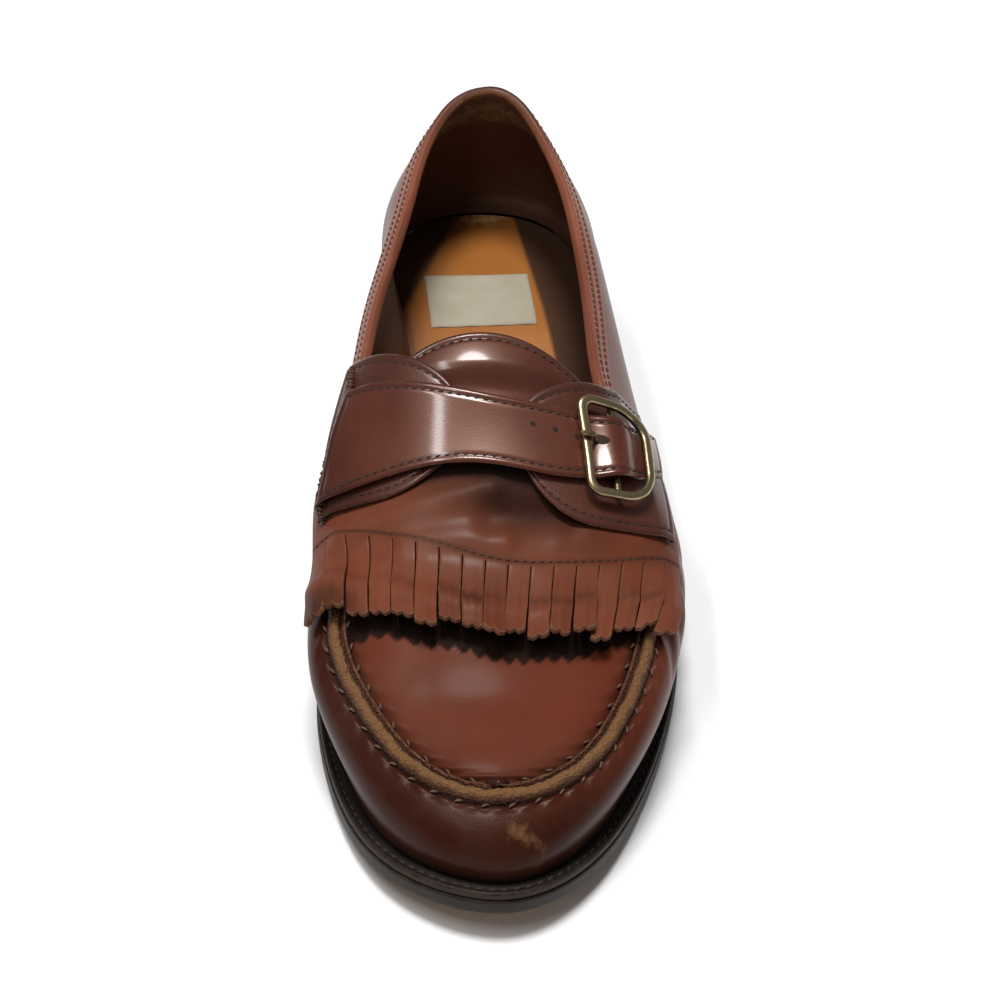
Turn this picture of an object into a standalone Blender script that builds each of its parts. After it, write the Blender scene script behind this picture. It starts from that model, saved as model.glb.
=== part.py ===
"""A man's kiltie loafer, left shoe, built up in the way that a shoemaker builds it.

Frame: the origin is the middle of the heel's bottom face, on the floor. The toe points along -Y,
+X is the lateral (outer) side and +Z is up. A station is a share of the sole's length, 0 at the
back of the heel and 1 at the tip of the toe. A pair is a share of the way from the toe (0) to the
heel (1) along both edges at once: the medial and the lateral edge have one point each per pair.
"""

from typing import NamedTuple

import bpy
import numpy as np

MM = 0.001

# Driving sizes
LENGTH = 298 * MM
BALL_WIDTH = 107 * MM
HEEL_WIDTH = 72 * MM
HEEL_OVERHANG = 36 * MM
HEEL_HEIGHT = 26 * MM
TOE_SPRING = 9 * MM
ARCH_LIFT = 2.5 * MM
OUTSOLE = 5 * MM
OUTSOLE_EDGE = 0.8 * MM
WELT = 2.5 * MM
WELT_WIDTH = 13 * MM
WELT_LEDGE = 4.5 * MM
TOP_LIFT = 6 * MM
HEEL_TAPER = 2 * MM
BREAST_HOLLOW = 5 * MM
INSOLE = 2.6 * MM
WALL = 2 * MM
MARGIN = 3.2 * MM
GAP = 0.3 * MM
LAY_GAP = 0.5 * MM
CORE_GAP = 1 * MM
TOE_HEIGHT = 33 * MM
THROAT_HEIGHT = 75 * MM
COLLAR_BACK_HEIGHT = 92 * MM
SEAM_WIDTH = 5.5 * MM
SEAM_HEIGHT = 2.2 * MM
TONGUE = 2 * MM
KILTIE = 1.4 * MM
EAR = 1.6 * MM
STRAP = 2 * MM
FRINGE_LIFT = 6.5 * MM
SLIT = 0.6 * MM
FRAME_LENGTH = 30 * MM
FRAME_WIDTH = 21 * MM
FRAME_BAR = 2.8 * MM
FRAME_THICK = 2.2 * MM
FRAME_NEAR_CORNER = 3.5 * MM
FRAME_FAR_CORNER = 8.5 * MM
CENTRE_BAR = 2 * MM
PRONG = 1.8 * MM
PRONG_OFFSET = 1.5 * MM
STRIPS = 17

# Places along the shoe, as stations
HEEL_FLAT = 0.18
TREAD_BACK = 0.58
TREAD_FRONT = 0.72
HEEL_BREAST = 0.235
ARCH_MIDDLE = 0.40
ARCH_REACH = 0.17

# Shares of the way between a wall's two ends that its curve's handles reach
FOOT_REACH = 0.38
RIM_REACH = 0.40
CROWN_REACH = 0.36

# The pair where the apron ends under the strap, and where the tongue begins and ends
THROAT = 0.440
TONGUE_START = 0.39
TONGUE_CORNER = 0.47
TONGUE_TOP = 0.508
TONGUE_RISE = 0.03

AROUND = 80

# The form's coordinates: where the seam's inner edge lies across, and the steps of its table
SEAM_SHARE = 0.9
GIRTH_RIBS = 61
GIRTH_STEPS = 121
SOFT_PAIR = 0.012
SOFT_GIRTH = 0.04


class Section(NamedTuple):
    """One row across the shoe: edges as shares of the local width, angles in degrees."""

    sole_at: float
    sole_in: float
    sole_out: float
    ledge: float
    rim_at: float
    rim_in: float
    rim_out: float
    rim_up: float
    foot_pitch: float
    rim_pitch: float
    crown_pitch: float


SECTIONS = (
    Section(1.000, -0.05, -0.05, 1.00, 0.944, -0.055, -0.055, 0.00, 108, 15, 10),
    Section(0.962, -0.29, 0.16, 1.00, 0.913, -0.26, 0.16, 0.01, 108, 16, 11),
    Section(0.885, -0.425, 0.305, 1.00, 0.844, -0.395, 0.295, 0.06, 110, 20, 15),
    Section(0.790, -0.49, 0.41, 0.90, 0.760, -0.475, 0.375, 0.17, 112, 28, 20),
    Section(0.690, -0.505, 0.48, 0.80, 0.668, -0.45, 0.385, 0.39, 115, 38, 28),
    Section(0.590, -0.455, 0.51, 0.70, 0.582, -0.45, 0.345, 0.66, 118, 50, 36),
    Section(0.490, -0.395, 0.53, 0.60, 0.506, -0.455, 0.30, 0.92, 114, 58, 45),
    Section(0.390, -0.39, 0.555, 0.50, 0.407, -0.485, 0.335, 1.00, 104, 50, 48),
    Section(0.290, -0.445, 0.555, 0.40, 0.305, -0.46, 0.36, 1.04, 90, 39, 48),
    Section(0.190, -0.50, 0.53, 0.35, 0.205, -0.38, 0.33, 1.21, 90, 46, 48),
    Section(0.100, -0.51, 0.50, 0.35, 0.122, -0.31, 0.26, 1.50, 94, 56, 48),
    Section(0.025, -0.33, 0.32, 0.35, 0.062, -0.18, 0.145, 1.88, 102, 68, 48),
    Section(0.000, 0.00, 0.00, 0.35, 0.038, 0.00, 0.00, 2.00, 106, 74, 48),
)



class Strip(NamedTuple):
    """One column of the kiltie: its girth, and the pairs of its top edge, root and tips."""

    girth: float
    top: float
    root: float
    tip: float


KILTIE_ROWS = (
    Strip(-0.63, 0.415, 0.343, 0.262),
    Strip(-0.50, 0.415, 0.337, 0.263),
    Strip(-0.35, 0.415, 0.323, 0.249),
    Strip(-0.18, 0.415, 0.306, 0.233),
    Strip(0.00, 0.415, 0.291, 0.220),
    Strip(0.18, 0.415, 0.291, 0.219),
    Strip(0.36, 0.415, 0.301, 0.227),
    Strip(0.50, 0.415, 0.315, 0.243),
    Strip(0.63, 0.415, 0.328, 0.262),
)


# How the strips differ: spread of their ends as a pair, sway of their lift, and the outer
# strips' droop, as shares of the lift; the power is how late along a strip it leaves the vamp
RAGGED_TIPS = 0.003
STRIP_SWAY = 0.15
EDGE_DROOP = 0.55
FRINGE_CURVE = 1.4


class Edge(NamedTuple):
    """One row along a tab or the strap: its heelward edge and its toeward edge on the form."""

    high_pair: float
    high_girth: float
    low_pair: float
    low_girth: float


EAR_MEDIAL_ROWS = (
    Edge(0.512, -0.420, 0.363, -0.570),
    Edge(0.508, -0.340, 0.359, -0.440),
    Edge(0.492, -0.235, 0.357, -0.310),
    Edge(0.472, -0.150, 0.369, -0.195),
    Edge(0.448, -0.095, 0.387, -0.110),
    Edge(0.424, -0.070, 0.408, -0.072),
)
EAR_LATERAL_ROWS = (
    Edge(0.500, 0.560, 0.345, 0.580),
    Edge(0.488, 0.420, 0.336, 0.450),
    Edge(0.474, 0.290, 0.330, 0.325),
    Edge(0.458, 0.190, 0.333, 0.215),
    Edge(0.438, 0.110, 0.352, 0.118),
    Edge(0.412, 0.068, 0.380, 0.070),
)
STRAP_ROWS = (
    Edge(0.474, -0.385, 0.372, -0.540),
    Edge(0.465, -0.270, 0.371, -0.350),
    Edge(0.447, -0.110, 0.373, -0.150),
    Edge(0.435, 0.030, 0.368, 0.030),
    Edge(0.431, 0.160, 0.364, 0.170),
    Edge(0.432, 0.290, 0.3705, 0.300),
    Edge(0.441, 0.410, 0.381, 0.400),
    Edge(0.462, 0.555, 0.398, 0.510),
)

# The buckle's middle on the form, its turn, and the share of its half width that the hump spans
BUCKLE_PAIR = 0.402
BUCKLE_GIRTH = 0.340
BUCKLE_TURN = np.radians(6)
HUMP_REACH = 0.68
HUMP_FLAT = 1.6

# The prong's visible root from the middle, over the frame's width, and its rest past the bar
PRONG_ROOT = 0.16
PRONG_REST = 1.6

COLOURS = {
    "outsole": ((0.035, 0.018, 0.012), 0.55, 0.0),
    "welt": ((0.04, 0.018, 0.011), 0.5, 0.0),
    "heel_stack": ((0.05, 0.024, 0.014), 0.5, 0.0),
    "top_lift": ((0.012, 0.011, 0.011), 0.7, 0.0),
    "insole": ((0.42, 0.17, 0.055), 0.5, 0.0),
    "upper": ((0.16, 0.045, 0.022), 0.3, 0.0),
    "tongue": ((0.16, 0.045, 0.022), 0.3, 0.0),
    "kiltie": ((0.19, 0.055, 0.028), 0.4, 0.0),
    "ear_medial": ((0.14, 0.04, 0.02), 0.3, 0.0),
    "ear_lateral": ((0.14, 0.04, 0.02), 0.3, 0.0),
    "strap": ((0.15, 0.042, 0.021), 0.25, 0.0),
    "buckle_frame": ((0.35, 0.24, 0.11), 0.35, 1.0),
    "buckle_prong": ((0.35, 0.24, 0.11), 0.35, 1.0),
    "centre_bar": ((0.35, 0.24, 0.11), 0.35, 1.0),
}


def eased(value):
    """0 below 0, 1 above 1, with a smooth S between."""
    value = np.clip(value, 0.0, 1.0)
    return value * value * (3 - 2 * value)


def place(station):
    """Y of a station."""
    return HEEL_OVERHANG - LENGTH * station


def station(y):
    """Station of a Y."""
    return (HEEL_OVERHANG - y) / LENGTH


def local_width(stations):
    """The width that a row's shares follow: the heel's behind the arch, the ball's before it."""
    return HEEL_WIDTH + (BALL_WIDTH - HEEL_WIDTH) * eased((stations - 0.3) / 0.35)


def underside(x, y):
    """Height of the outsole's bottom: heel seat, arch, flat tread and toe spring."""
    at = station(y)
    seat = HEEL_HEIGHT * (1 - eased((at - HEEL_FLAT) / (TREAD_BACK - HEEL_FLAT)))
    spring = TOE_SPRING * np.square(np.clip((at - TREAD_FRONT) / (1 - TREAD_FRONT), 0, None))
    hollow = np.square(np.clip(1 - np.square((at - ARCH_MIDDLE) / ARCH_REACH), 0, None))
    inner = 0.5 - x / BALL_WIDTH
    return seat + spring + ARCH_LIFT * hollow * inner


def loop_values():
    """The table's columns carried once round the shoe: toe, lateral side, heel, medial side."""
    rows = []
    count = len(SECTIONS)
    order = list(range(count)) + list(range(count - 2, 0, -1))
    for number, index in enumerate(order):
        row = SECTIONS[index]
        outer = number < count
        sole_x = (row.sole_out if outer else row.sole_in) * local_width(row.sole_at)
        rim_x = (row.rim_out if outer else row.rim_in) * local_width(row.rim_at)
        heights = (TOE_HEIGHT, THROAT_HEIGHT, COLLAR_BACK_HEIGHT)
        rim_z = np.interp(row.rim_up, (0, 1, 2), heights)
        rows.append(
            (
                sole_x,
                place(row.sole_at),
                row.ledge * WELT_LEDGE,
                rim_x,
                place(row.rim_at),
                rim_z,
                np.radians(row.foot_pitch),
                np.radians(row.rim_pitch),
                np.radians(row.crown_pitch),
            )
        )
    return np.array(rows)


def closed_spline(values):
    """A function of u, 0 to 1 round the shoe: the cubic spline through evenly spaced rows."""
    count = len(values)
    unit = np.eye(count)
    matrix = 4 * unit + np.roll(unit, 1, 0) + np.roll(unit, -1, 0)
    turns = np.roll(values, -1, 0) - 2 * values + np.roll(values, 1, 0)
    bends = np.linalg.solve(matrix, 6 * turns)

    def at(u):
        where = (np.asarray(u, float) % 1.0) * count
        low = np.floor(where).astype(int) % count
        high = (low + 1) % count
        part = (where - np.floor(where))[..., None]
        rest = 1 - part
        straight = values[low] * rest + values[high] * part
        return straight + (bends[low] * (rest**3 - rest) + bends[high] * (part**3 - part)) / 6

    return at


LOOP = closed_spline(loop_values())


def outward(u, column):
    """Unit vectors in plan that point out of the outline whose x is in the given column."""
    step = 1e-4
    along = LOOP(u + step)[..., column : column + 2] - LOOP(u - step)[..., column : column + 2]
    along /= np.linalg.norm(along, axis=-1, keepdims=True)
    return np.stack([along[..., 1], -along[..., 0]], axis=-1)


def sole_edge(u, inset):
    """Plan points of the sole's outline, moved inwards by inset."""
    return LOOP(u)[..., 0:2] - outward(u, 0) * np.asarray(inset)[..., None]


def on_sole(plan, height):
    """Plan points raised to a height above the outsole's bottom."""
    z = underside(plan[..., 0], plan[..., 1]) + height
    return np.concatenate([plan, z[..., None]], axis=-1)


UPPER_BASE = OUTSOLE + GAP + WELT + GAP


def feather(u):
    """The upper's lower edge, above the welt."""
    return on_sole(sole_edge(u, LOOP(u)[..., 2]), UPPER_BASE)


def rim(u):
    """The upper's upper edge: the apron's seam in front, the topline behind."""
    return LOOP(u)[..., 3:6]


def aimed(outwards, pitch):
    """Unit vectors that point inwards, turned up from the floor by pitch."""
    flat = -outwards * np.cos(pitch)[..., None]
    return np.concatenate([flat, np.sin(pitch)[..., None]], axis=-1)


def bezier(ends, share):
    """A cubic Bezier's point at each share, from its four control points."""
    share = np.asarray(share)[..., None]
    rest = 1 - share
    first, second, third, last = ends
    return (
        rest**3 * first
        + 3 * rest**2 * share * second
        + 3 * rest * share**2 * third
        + share**3 * last
    )


def wall(u, up):
    """The upper's outer face: up is 0 above the margin at the welt and 1 at the rim."""
    values = LOOP(u)
    start = feather(u) + np.array([0, 0, MARGIN])
    end = rim(u)
    reach = np.linalg.norm(end - start, axis=-1, keepdims=True)
    foot = start + aimed(outward(u, 0), values[..., 6]) * reach * FOOT_REACH
    shoulder = end - aimed(outward(u, 3), values[..., 7]) * reach * RIM_REACH
    return bezier((start, foot, shoulder, end), up)


def seam_line(u, inwards):
    """Points beside the rim, inwards by a distance, on the slope where the apron starts."""
    values = LOOP(u)
    inwards = np.asarray(inwards, float)
    slope = aimed(outward(u, 3), values[..., 8])
    return rim(u) + slope * inwards[..., None]


def crown(pair, across):
    """The apron and instep form: across runs from -1, medial seam, to 1, lateral seam."""
    width = np.full(np.shape(pair), SEAM_WIDTH)
    left = seam_line(1 - pair / 2, width)
    right = seam_line(pair / 2, width)
    chord = right - left
    reach = np.linalg.norm(chord, axis=-1, keepdims=True)
    side = chord / np.maximum(reach, 1e-9)
    pitch = LOOP(pair / 2)[..., 8:9]
    up = np.array([0.0, 0.0, 1.0]) * np.sin(pitch)
    first = left + (side * np.cos(pitch) + up) * reach * CROWN_REACH
    second = right + (-side * np.cos(pitch) + up) * reach * CROWN_REACH
    return bezier((left, first, second, right), (np.asarray(across) + 1) / 2)


def rib(pair, across):
    """The upper's outer form: -2 is the medial welt, -1 and 1 the rims, 2 the lateral welt."""
    pair, across = np.broadcast_arrays(np.asarray(pair, float), np.asarray(across, float))
    u = np.where(across < 0, 1 - pair / 2, pair / 2)
    side = np.abs(across)
    inner = seam_line(u, np.full(u.shape, SEAM_WIDTH))
    part = np.clip((side - SEAM_SHARE) / (1 - SEAM_SHARE), 0, 1)[..., None]
    over_seam = inner * (1 - part) + rim(u) * part
    top = crown(pair, np.clip(across / SEAM_SHARE, -1, 1))
    low = wall(u, np.clip(2 - side, 0, 1))
    return np.where(
        (side > 1)[..., None], low, np.where((side > SEAM_SHARE)[..., None], over_seam, top)
    )


def girth_table():
    """Arc lengths along the ribs from the middle, as shares of each side, for form()."""
    across = np.linspace(-2, 2, GIRTH_STEPS)
    pairs = np.linspace(0.1, 0.7, GIRTH_RIBS)
    points = rib(pairs[:, None], across[None, :])
    steps = np.linalg.norm(np.diff(points, axis=1), axis=-1)
    length = np.concatenate([np.zeros((GIRTH_RIBS, 1)), np.cumsum(steps, axis=1)], axis=1)
    length -= length[:, GIRTH_STEPS // 2, None]
    share = np.where(length < 0, -length / length[:, :1], length / length[:, -1:])
    return pairs, across, share


RIB_PAIRS, RIB_ACROSS, RIB_SHARE = girth_table()


def form(pair, girth):
    """A point of the form: girth is -1 at the medial welt, 0 in the middle, 1 at the lateral."""
    pair, girth = np.broadcast_arrays(np.asarray(pair, float), np.asarray(girth, float))
    where = np.interp(pair, RIB_PAIRS, np.arange(GIRTH_RIBS))
    low = np.clip(np.floor(where).astype(int), 0, GIRTH_RIBS - 2)
    part = (where - low)[..., None]
    shares = RIB_SHARE[low] * (1 - part) + RIB_SHARE[low + 1] * part
    index = np.clip((shares < girth[..., None]).sum(axis=-1) - 1, 0, GIRTH_STEPS - 2)
    before = np.take_along_axis(shares, index[..., None], axis=-1)[..., 0]
    after = np.take_along_axis(shares, index[..., None] + 1, axis=-1)[..., 0]
    step = (girth - before) / (after - before)
    return rib(pair, RIB_ACROSS[index] + step * (RIB_ACROSS[1] - RIB_ACROSS[0]))


def laid(pair, girth, lift):
    """Points at a height over the form, along its smoothed normal."""
    pair, girth, lift = np.broadcast_arrays(*(np.asarray(v, float) for v in (pair, girth, lift)))
    along = form(pair + SOFT_PAIR, girth) - form(pair - SOFT_PAIR, girth)
    side = form(pair, girth + SOFT_GIRTH) - form(pair, girth - SOFT_GIRTH)
    normal = np.cross(side, along)
    normal /= np.linalg.norm(normal, axis=-1, keepdims=True)
    return form(pair, girth) + normal * lift[..., None]


def new_object(name, points, faces):
    """A mesh object with its own material, shaded smooth."""
    mesh = bpy.data.meshes.new(name)
    mesh.from_pydata([tuple(point) for point in points], [], faces)
    mesh.validate()
    mesh.shade_smooth()
    mesh.set_sharp_from_angle(angle=np.radians(40))
    colour, roughness, metallic = COLOURS[name]
    material = bpy.data.materials.new(name)
    material.use_nodes = True
    shader = material.node_tree.nodes["Principled BSDF"]
    shader.inputs["Base Color"].default_value = (*colour, 1)
    shader.inputs["Roughness"].default_value = roughness
    shader.inputs["Metallic"].default_value = metallic
    mesh.materials.append(material)
    thing = bpy.data.objects.new(name, mesh)
    bpy.context.scene.collection.objects.link(thing)
    return thing


def thicken(thing, thickness):
    """Closes a sheet into a wall, inwards from its outer face."""
    modifier = thing.modifiers.new("wall", "SOLIDIFY")
    modifier.thickness = thickness
    modifier.offset = -1
    modifier.use_rim = True


def bridged(loops, count, closed):
    """Quads between neighbouring loops of count points each."""
    faces = []
    total = len(loops)
    for low in range(total if closed else total - 1):
        high = (low + 1) % total
        for i in range(count):
            j = (i + 1) % count
            faces.append((low * count + i, low * count + j, high * count + j, high * count + i))
    return faces


def capped(count, offset, upwards):
    """Quads across a loop, between the points that face each other over the shoe's middle."""
    faces = []
    for i in range(count // 2 - 1):
        quad = (i, i + 1, count - 2 - i, count - 1 - i)
        quad = quad if upwards else quad[::-1]
        faces.append(tuple(offset + corner for corner in quad))
    return faces


def loop_solid(name, loops):
    """A solid of loops from the bottom up, capped at both ends."""
    count = len(loops[0])
    faces = bridged(loops, count, False)
    faces += capped(count, 0, False)
    faces += capped(count, (len(loops) - 1) * count, True)
    return new_object(name, np.concatenate(loops), faces)


def ring_solid(name, loops):
    """A ring of loops that run round its own section."""
    return new_object(name, np.concatenate(loops), bridged(loops, len(loops[0]), True))


def around():
    """Values of u at the mesh's columns, none on the tip of the toe or the back of the heel."""
    return (np.arange(AROUND) + 0.5) / AROUND


def build_outsole():
    """The leather outsole, with its edge turned in a little above and below."""
    u = around()
    edge = np.full(AROUND, OUTSOLE_EDGE)
    loops = (
        on_sole(sole_edge(u, edge), 0.0),
        on_sole(sole_edge(u, 0 * edge), OUTSOLE_EDGE),
        on_sole(sole_edge(u, 0 * edge), OUTSOLE - OUTSOLE_EDGE),
        on_sole(sole_edge(u, edge), OUTSOLE),
    )
    loop_solid("outsole", loops)


def build_welt():
    """The strip between outsole and upper, all round, with a ledge outside the upper."""
    u = around()
    low = OUTSOLE + GAP
    outer = np.full(AROUND, OUTSOLE_EDGE / 2)
    inner = outer + WELT_WIDTH
    loops = (
        on_sole(sole_edge(u, inner), low),
        on_sole(sole_edge(u, outer), low),
        on_sole(sole_edge(u, outer), low + WELT),
        on_sole(sole_edge(u, inner), low + WELT),
    )
    ring_solid("welt", loops)


def build_insole():
    """The insole: a plate inside the wall, whose thicker middle fills the welt's opening."""
    u = around()
    core = np.full(AROUND, OUTSOLE_EDGE / 2 + WELT_WIDTH + CORE_GAP)
    rest = LOOP(u)[..., 2] + WALL + 1.5 * GAP
    step = UPPER_BASE + GAP
    loops = (
        on_sole(sole_edge(u, core), OUTSOLE + 1.5 * GAP),
        on_sole(sole_edge(u, core), step),
        on_sole(sole_edge(u, rest), step),
        on_sole(sole_edge(u, rest), step + INSOLE),
    )
    loop_solid("insole", loops)


def heel_grid(taper, height):
    """Rows across the heel from its back to its breast, which is hollow in plan."""
    u_all = around()
    behind = [k for k in range(AROUND // 2) if station(LOOP(u_all[k])[1]) < HEEL_BREAST]
    rows = []
    across = np.linspace(-1, 1, 7)
    first = behind[0]
    for k in behind:
        right = sole_edge(u_all[k], taper)
        left = sole_edge(u_all[AROUND - 1 - k], taper)
        middle = (left + right) / 2
        row = middle + np.outer(across, (right - left) / 2)
        near = eased(1 - (k - first) / (len(behind) / 2))
        row[:, 1] += BREAST_HOLLOW * near * (1 - across**2)
        if k == first:
            row[:, 1] += place(HEEL_BREAST) - middle[1]
        rows.append(row)
    grid = np.array(rows[::-1])
    z = height(grid[..., 0], grid[..., 1])
    return np.concatenate([grid, np.broadcast_to(z, grid.shape[:2])[..., None]], axis=-1)


def slab(name, bottom, top):
    """A closed solid between two grids of the same shape, with its sides built in."""
    rows, columns = bottom.shape[:2]
    points = np.concatenate([bottom.reshape(-1, 3), top.reshape(-1, 3)])
    size = rows * columns
    index = np.arange(size).reshape(rows, columns)
    faces = []
    for r in range(rows - 1):
        for c in range(columns - 1):
            quad = (index[r, c], index[r, c + 1], index[r + 1, c + 1], index[r + 1, c])
            faces.append(tuple(int(i) for i in quad))
            faces.append(tuple(int(i) + size for i in quad[::-1]))
    border = list(index[0, :]) + list(index[1:, -1])
    border += list(index[-1, -2::-1]) + list(index[-2:0:-1, 0])
    for low, high in zip(border, border[1:] + border[:1]):
        low, high = int(low), int(high)
        faces.append((high, low, low + size, high + size))
    return new_object(name, points, faces)


def build_heel():
    """The stacked leather heel under the seat, and the rubber top lift that it walks on."""
    split = TOP_LIFT + GAP
    share = TOP_LIFT / HEEL_HEIGHT
    under_seat = heel_grid(OUTSOLE_EDGE, lambda x, y: underside(x, y) - GAP)
    on_lift = heel_grid(HEEL_TAPER * (1 - share), lambda x, y: np.full(x.shape, split))
    slab("heel_stack", on_lift, under_seat)
    lift_top = heel_grid(HEEL_TAPER * (1 - share), lambda x, y: np.full(x.shape, TOP_LIFT))
    lift_bottom = heel_grid(HEEL_TAPER, lambda x, y: np.zeros(x.shape))
    slab("top_lift", lift_bottom, lift_top)


def seam_profile(pair):
    """The raised apron seam: distances in from the rim and heights over the slope."""
    fade = 1 - eased((pair - 0.21) / 0.09)
    shares = np.array([0.0, 0.22, 0.5, 0.78, 1.0])
    heights = np.array([0.0, 0.8, 1.0, 0.8, 0.0]) * SEAM_HEIGHT
    return shares * SEAM_WIDTH, heights[None, :] * np.asarray(fade)[:, None]


def build_upper():
    """The upper: wall, raised seam and apron as one sheet, then closed into a 2 mm wall."""
    u = around()
    ups = np.linspace(0, 1, 8)
    grid = [feather(u)] + [wall(u, np.full(AROUND, up)) for up in ups]
    points = list(np.concatenate(grid))
    faces = bridged(grid, AROUND, False)
    rim_start = (len(grid) - 1) * AROUND
    front = [k for k in range(AROUND // 2) if (k + 0.5) / AROUND * 2 <= THROAT]
    ring = [AROUND - 1 - k for k in reversed(front)] + front
    u_ring = u[ring]
    pairs = np.where(u_ring < 0.5, u_ring, 1 - u_ring) * 2
    distances, heights = seam_profile(pairs)
    previous = [rim_start + k for k in ring]
    lift = np.array([0.0, 0.0, 1.0])
    for step in range(1, len(distances)):
        line = seam_line(u_ring, np.full(len(ring), distances[step]))
        line = line + heights[:, step : step + 1] * lift
        start = len(points)
        points += list(line)
        current = list(range(start, start + len(ring)))
        for i in range(len(ring) - 1):
            faces.append((previous[i], previous[i + 1], current[i + 1], current[i]))
        previous = current
    inner = 7
    half = len(front)
    rows = []
    for number, k in enumerate(front):
        pair = (k + 0.5) / AROUND * 2
        across = np.linspace(-1, 1, inner + 2)[1:-1]
        start = len(points)
        points += list(crown(np.full(inner, pair), across))
        left, right = previous[half - 1 - number], previous[half + number]
        rows.append([left] + list(range(start, start + inner)) + [right])
    for low, high in zip(rows, rows[1:]):
        for i in range(inner + 1):
            faces.append((low[i], low[i + 1], high[i + 1], high[i]))
    first = rows[0]
    faces.append(tuple(first[::-1]))
    upper = new_object("upper", points, faces)
    thicken(upper, WALL)


def normals_of(grid):
    """Unit normals of a grid of points, rows by columns, that point out of the shoe."""
    along = np.gradient(grid, axis=0)
    side = np.gradient(grid, axis=1)
    normal = np.cross(side, along)
    return normal / np.linalg.norm(normal, axis=-1, keepdims=True)


def sheet(name, grid, thickness):
    """A sheet of quads over a grid whose normals point out, thickened inwards."""
    rows, columns = grid.shape[:2]
    index = np.arange(rows * columns).reshape(rows, columns)
    corners = (index[:-1, :-1], index[:-1, 1:], index[1:, 1:], index[1:, :-1])
    faces = np.stack([corner.ravel() for corner in corners], axis=1).tolist()
    thing = new_object(name, grid.reshape(-1, 3), faces)
    thicken(thing, thickness)
    return thing


def build_tongue():
    """The tongue: from under the apron's end it rises level with it, to an arched top edge."""
    across = np.linspace(-1, 1, 11)
    ends = TONGUE_CORNER + (TONGUE_TOP - TONGUE_CORNER) * (1 - across**2)
    share = np.linspace(0, 1, 9)[:, None]
    pairs = TONGUE_START + (ends - TONGUE_START) * share
    grid = crown(pairs, np.broadcast_to(across, pairs.shape))
    below = (WALL + LAY_GAP) * (1 - eased((pairs - THROAT - 0.01) / TONGUE_RISE))
    sheet("tongue", grid - normals_of(grid) * below[..., None], TONGUE)


def open_spline(values, count):
    """Count points of the smooth curve through evenly spaced rows, ends included."""
    values = np.asarray(values, float)
    total = len(values)
    matrix = 4 * np.eye(total) + np.eye(total, k=1) + np.eye(total, k=-1)
    matrix[0, :2], matrix[-1, -2:] = (1, 0), (0, 1)
    turns = np.zeros_like(values)
    turns[1:-1] = 6 * (values[2:] - 2 * values[1:-1] + values[:-2])
    bends = np.linalg.solve(matrix, turns)
    where = np.linspace(0, total - 1, count)
    low = np.clip(np.floor(where).astype(int), 0, total - 2)
    part = (where - low)[:, None]
    rest = 1 - part
    line = values[low] * rest + values[low + 1] * part
    return line + (bends[low] * (rest**3 - rest) + bends[low + 1] * (part**3 - part)) / 6


KILTIE_FACE = LAY_GAP + KILTIE
EAR_FACE = KILTIE_FACE + LAY_GAP + EAR
STRAP_FACE = EAR_FACE + LAY_GAP + STRAP


def build_kiltie():
    """The kiltie: a smooth sheet, slit into a fringe that stands off the vamp at its tips."""
    rows = np.array(KILTIE_ROWS)
    edges = np.linspace(rows[0, 0], rows[-1, 0], STRIPS + 1)
    half_slit = SLIT / 2 / girth_scale(rows[4, 2], rows[4, 0])
    girths = []
    for left, right in zip(edges, edges[1:]):
        girths += [left + half_slit, (left + right) / 2, right - half_slit]
    girths = np.array(girths)
    curve = open_spline(rows, 65)
    tops, roots, tips = (np.interp(girths, curve[:, 0], curve[:, k]) for k in (1, 2, 3))
    strip = np.arange(len(girths)) // 3
    tips = tips + RAGGED_TIPS * np.sin(2.3 * strip)
    smooth = np.linspace(0, 1, 5)[:, None]
    hanging = np.linspace(0, 1, 6)[1:, None]
    pairs = np.concatenate([tops + (roots - tops) * smooth, roots + (tips - roots) * hanging])
    near_side = (girths / rows[-1, 0]) ** 4
    stand = FRINGE_LIFT * (1 - EDGE_DROOP * near_side) * (1 + STRIP_SWAY * np.sin(1.7 * strip))
    lifts = stand * hanging**FRINGE_CURVE
    lifts = np.concatenate([np.zeros((5, len(girths))), lifts]) + KILTIE_FACE
    grid = laid(pairs[::-1], np.broadcast_to(girths, pairs.shape), lifts[::-1])
    count, columns = grid.shape[:2]
    index = np.arange(count * columns).reshape(count, columns)
    faces = []
    for r in range(count - 1):
        fringe = r < len(hanging)
        for c in range(columns - 1):
            if fringe and c % 3 == 2:
                continue
            quad = (index[r, c], index[r, c + 1], index[r + 1, c + 1], index[r + 1, c])
            faces.append(tuple(int(i) for i in quad))
    thicken(new_object("kiltie", grid.reshape(-1, 3), faces), KILTIE)


def pair_scale(pair, girth):
    """Metres per unit of pair at a place on the form."""
    step = 0.005
    return float(np.linalg.norm(form(pair + step, girth) - form(pair - step, girth))) / step / 2


def girth_scale(pair, girth):
    """Metres per unit of girth at a place on the form."""
    step = 0.02
    return float(np.linalg.norm(form(pair, girth + step) - form(pair, girth - step))) / step / 2


def tab_grid(table, long, wide):
    """Pairs and girths of a tab's grid: long rows along its table, wide points across it."""
    rows = open_spline(table, long)
    share = np.linspace(0, 1, wide)[:, None]
    pairs = rows[:, 2] + (rows[:, 0] - rows[:, 2]) * share
    girths = rows[:, 3] + (rows[:, 1] - rows[:, 3]) * share
    return pairs, girths


def build_ears():
    """The two rounded tabs under the strap, one from each side."""
    pairs, girths = tab_grid(EAR_MEDIAL_ROWS, 16, 7)
    sheet("ear_medial", laid(pairs, girths, EAR_FACE), EAR)
    pairs, girths = tab_grid(EAR_LATERAL_ROWS[::-1], 16, 7)
    sheet("ear_lateral", laid(pairs, girths, EAR_FACE), EAR)


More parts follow.
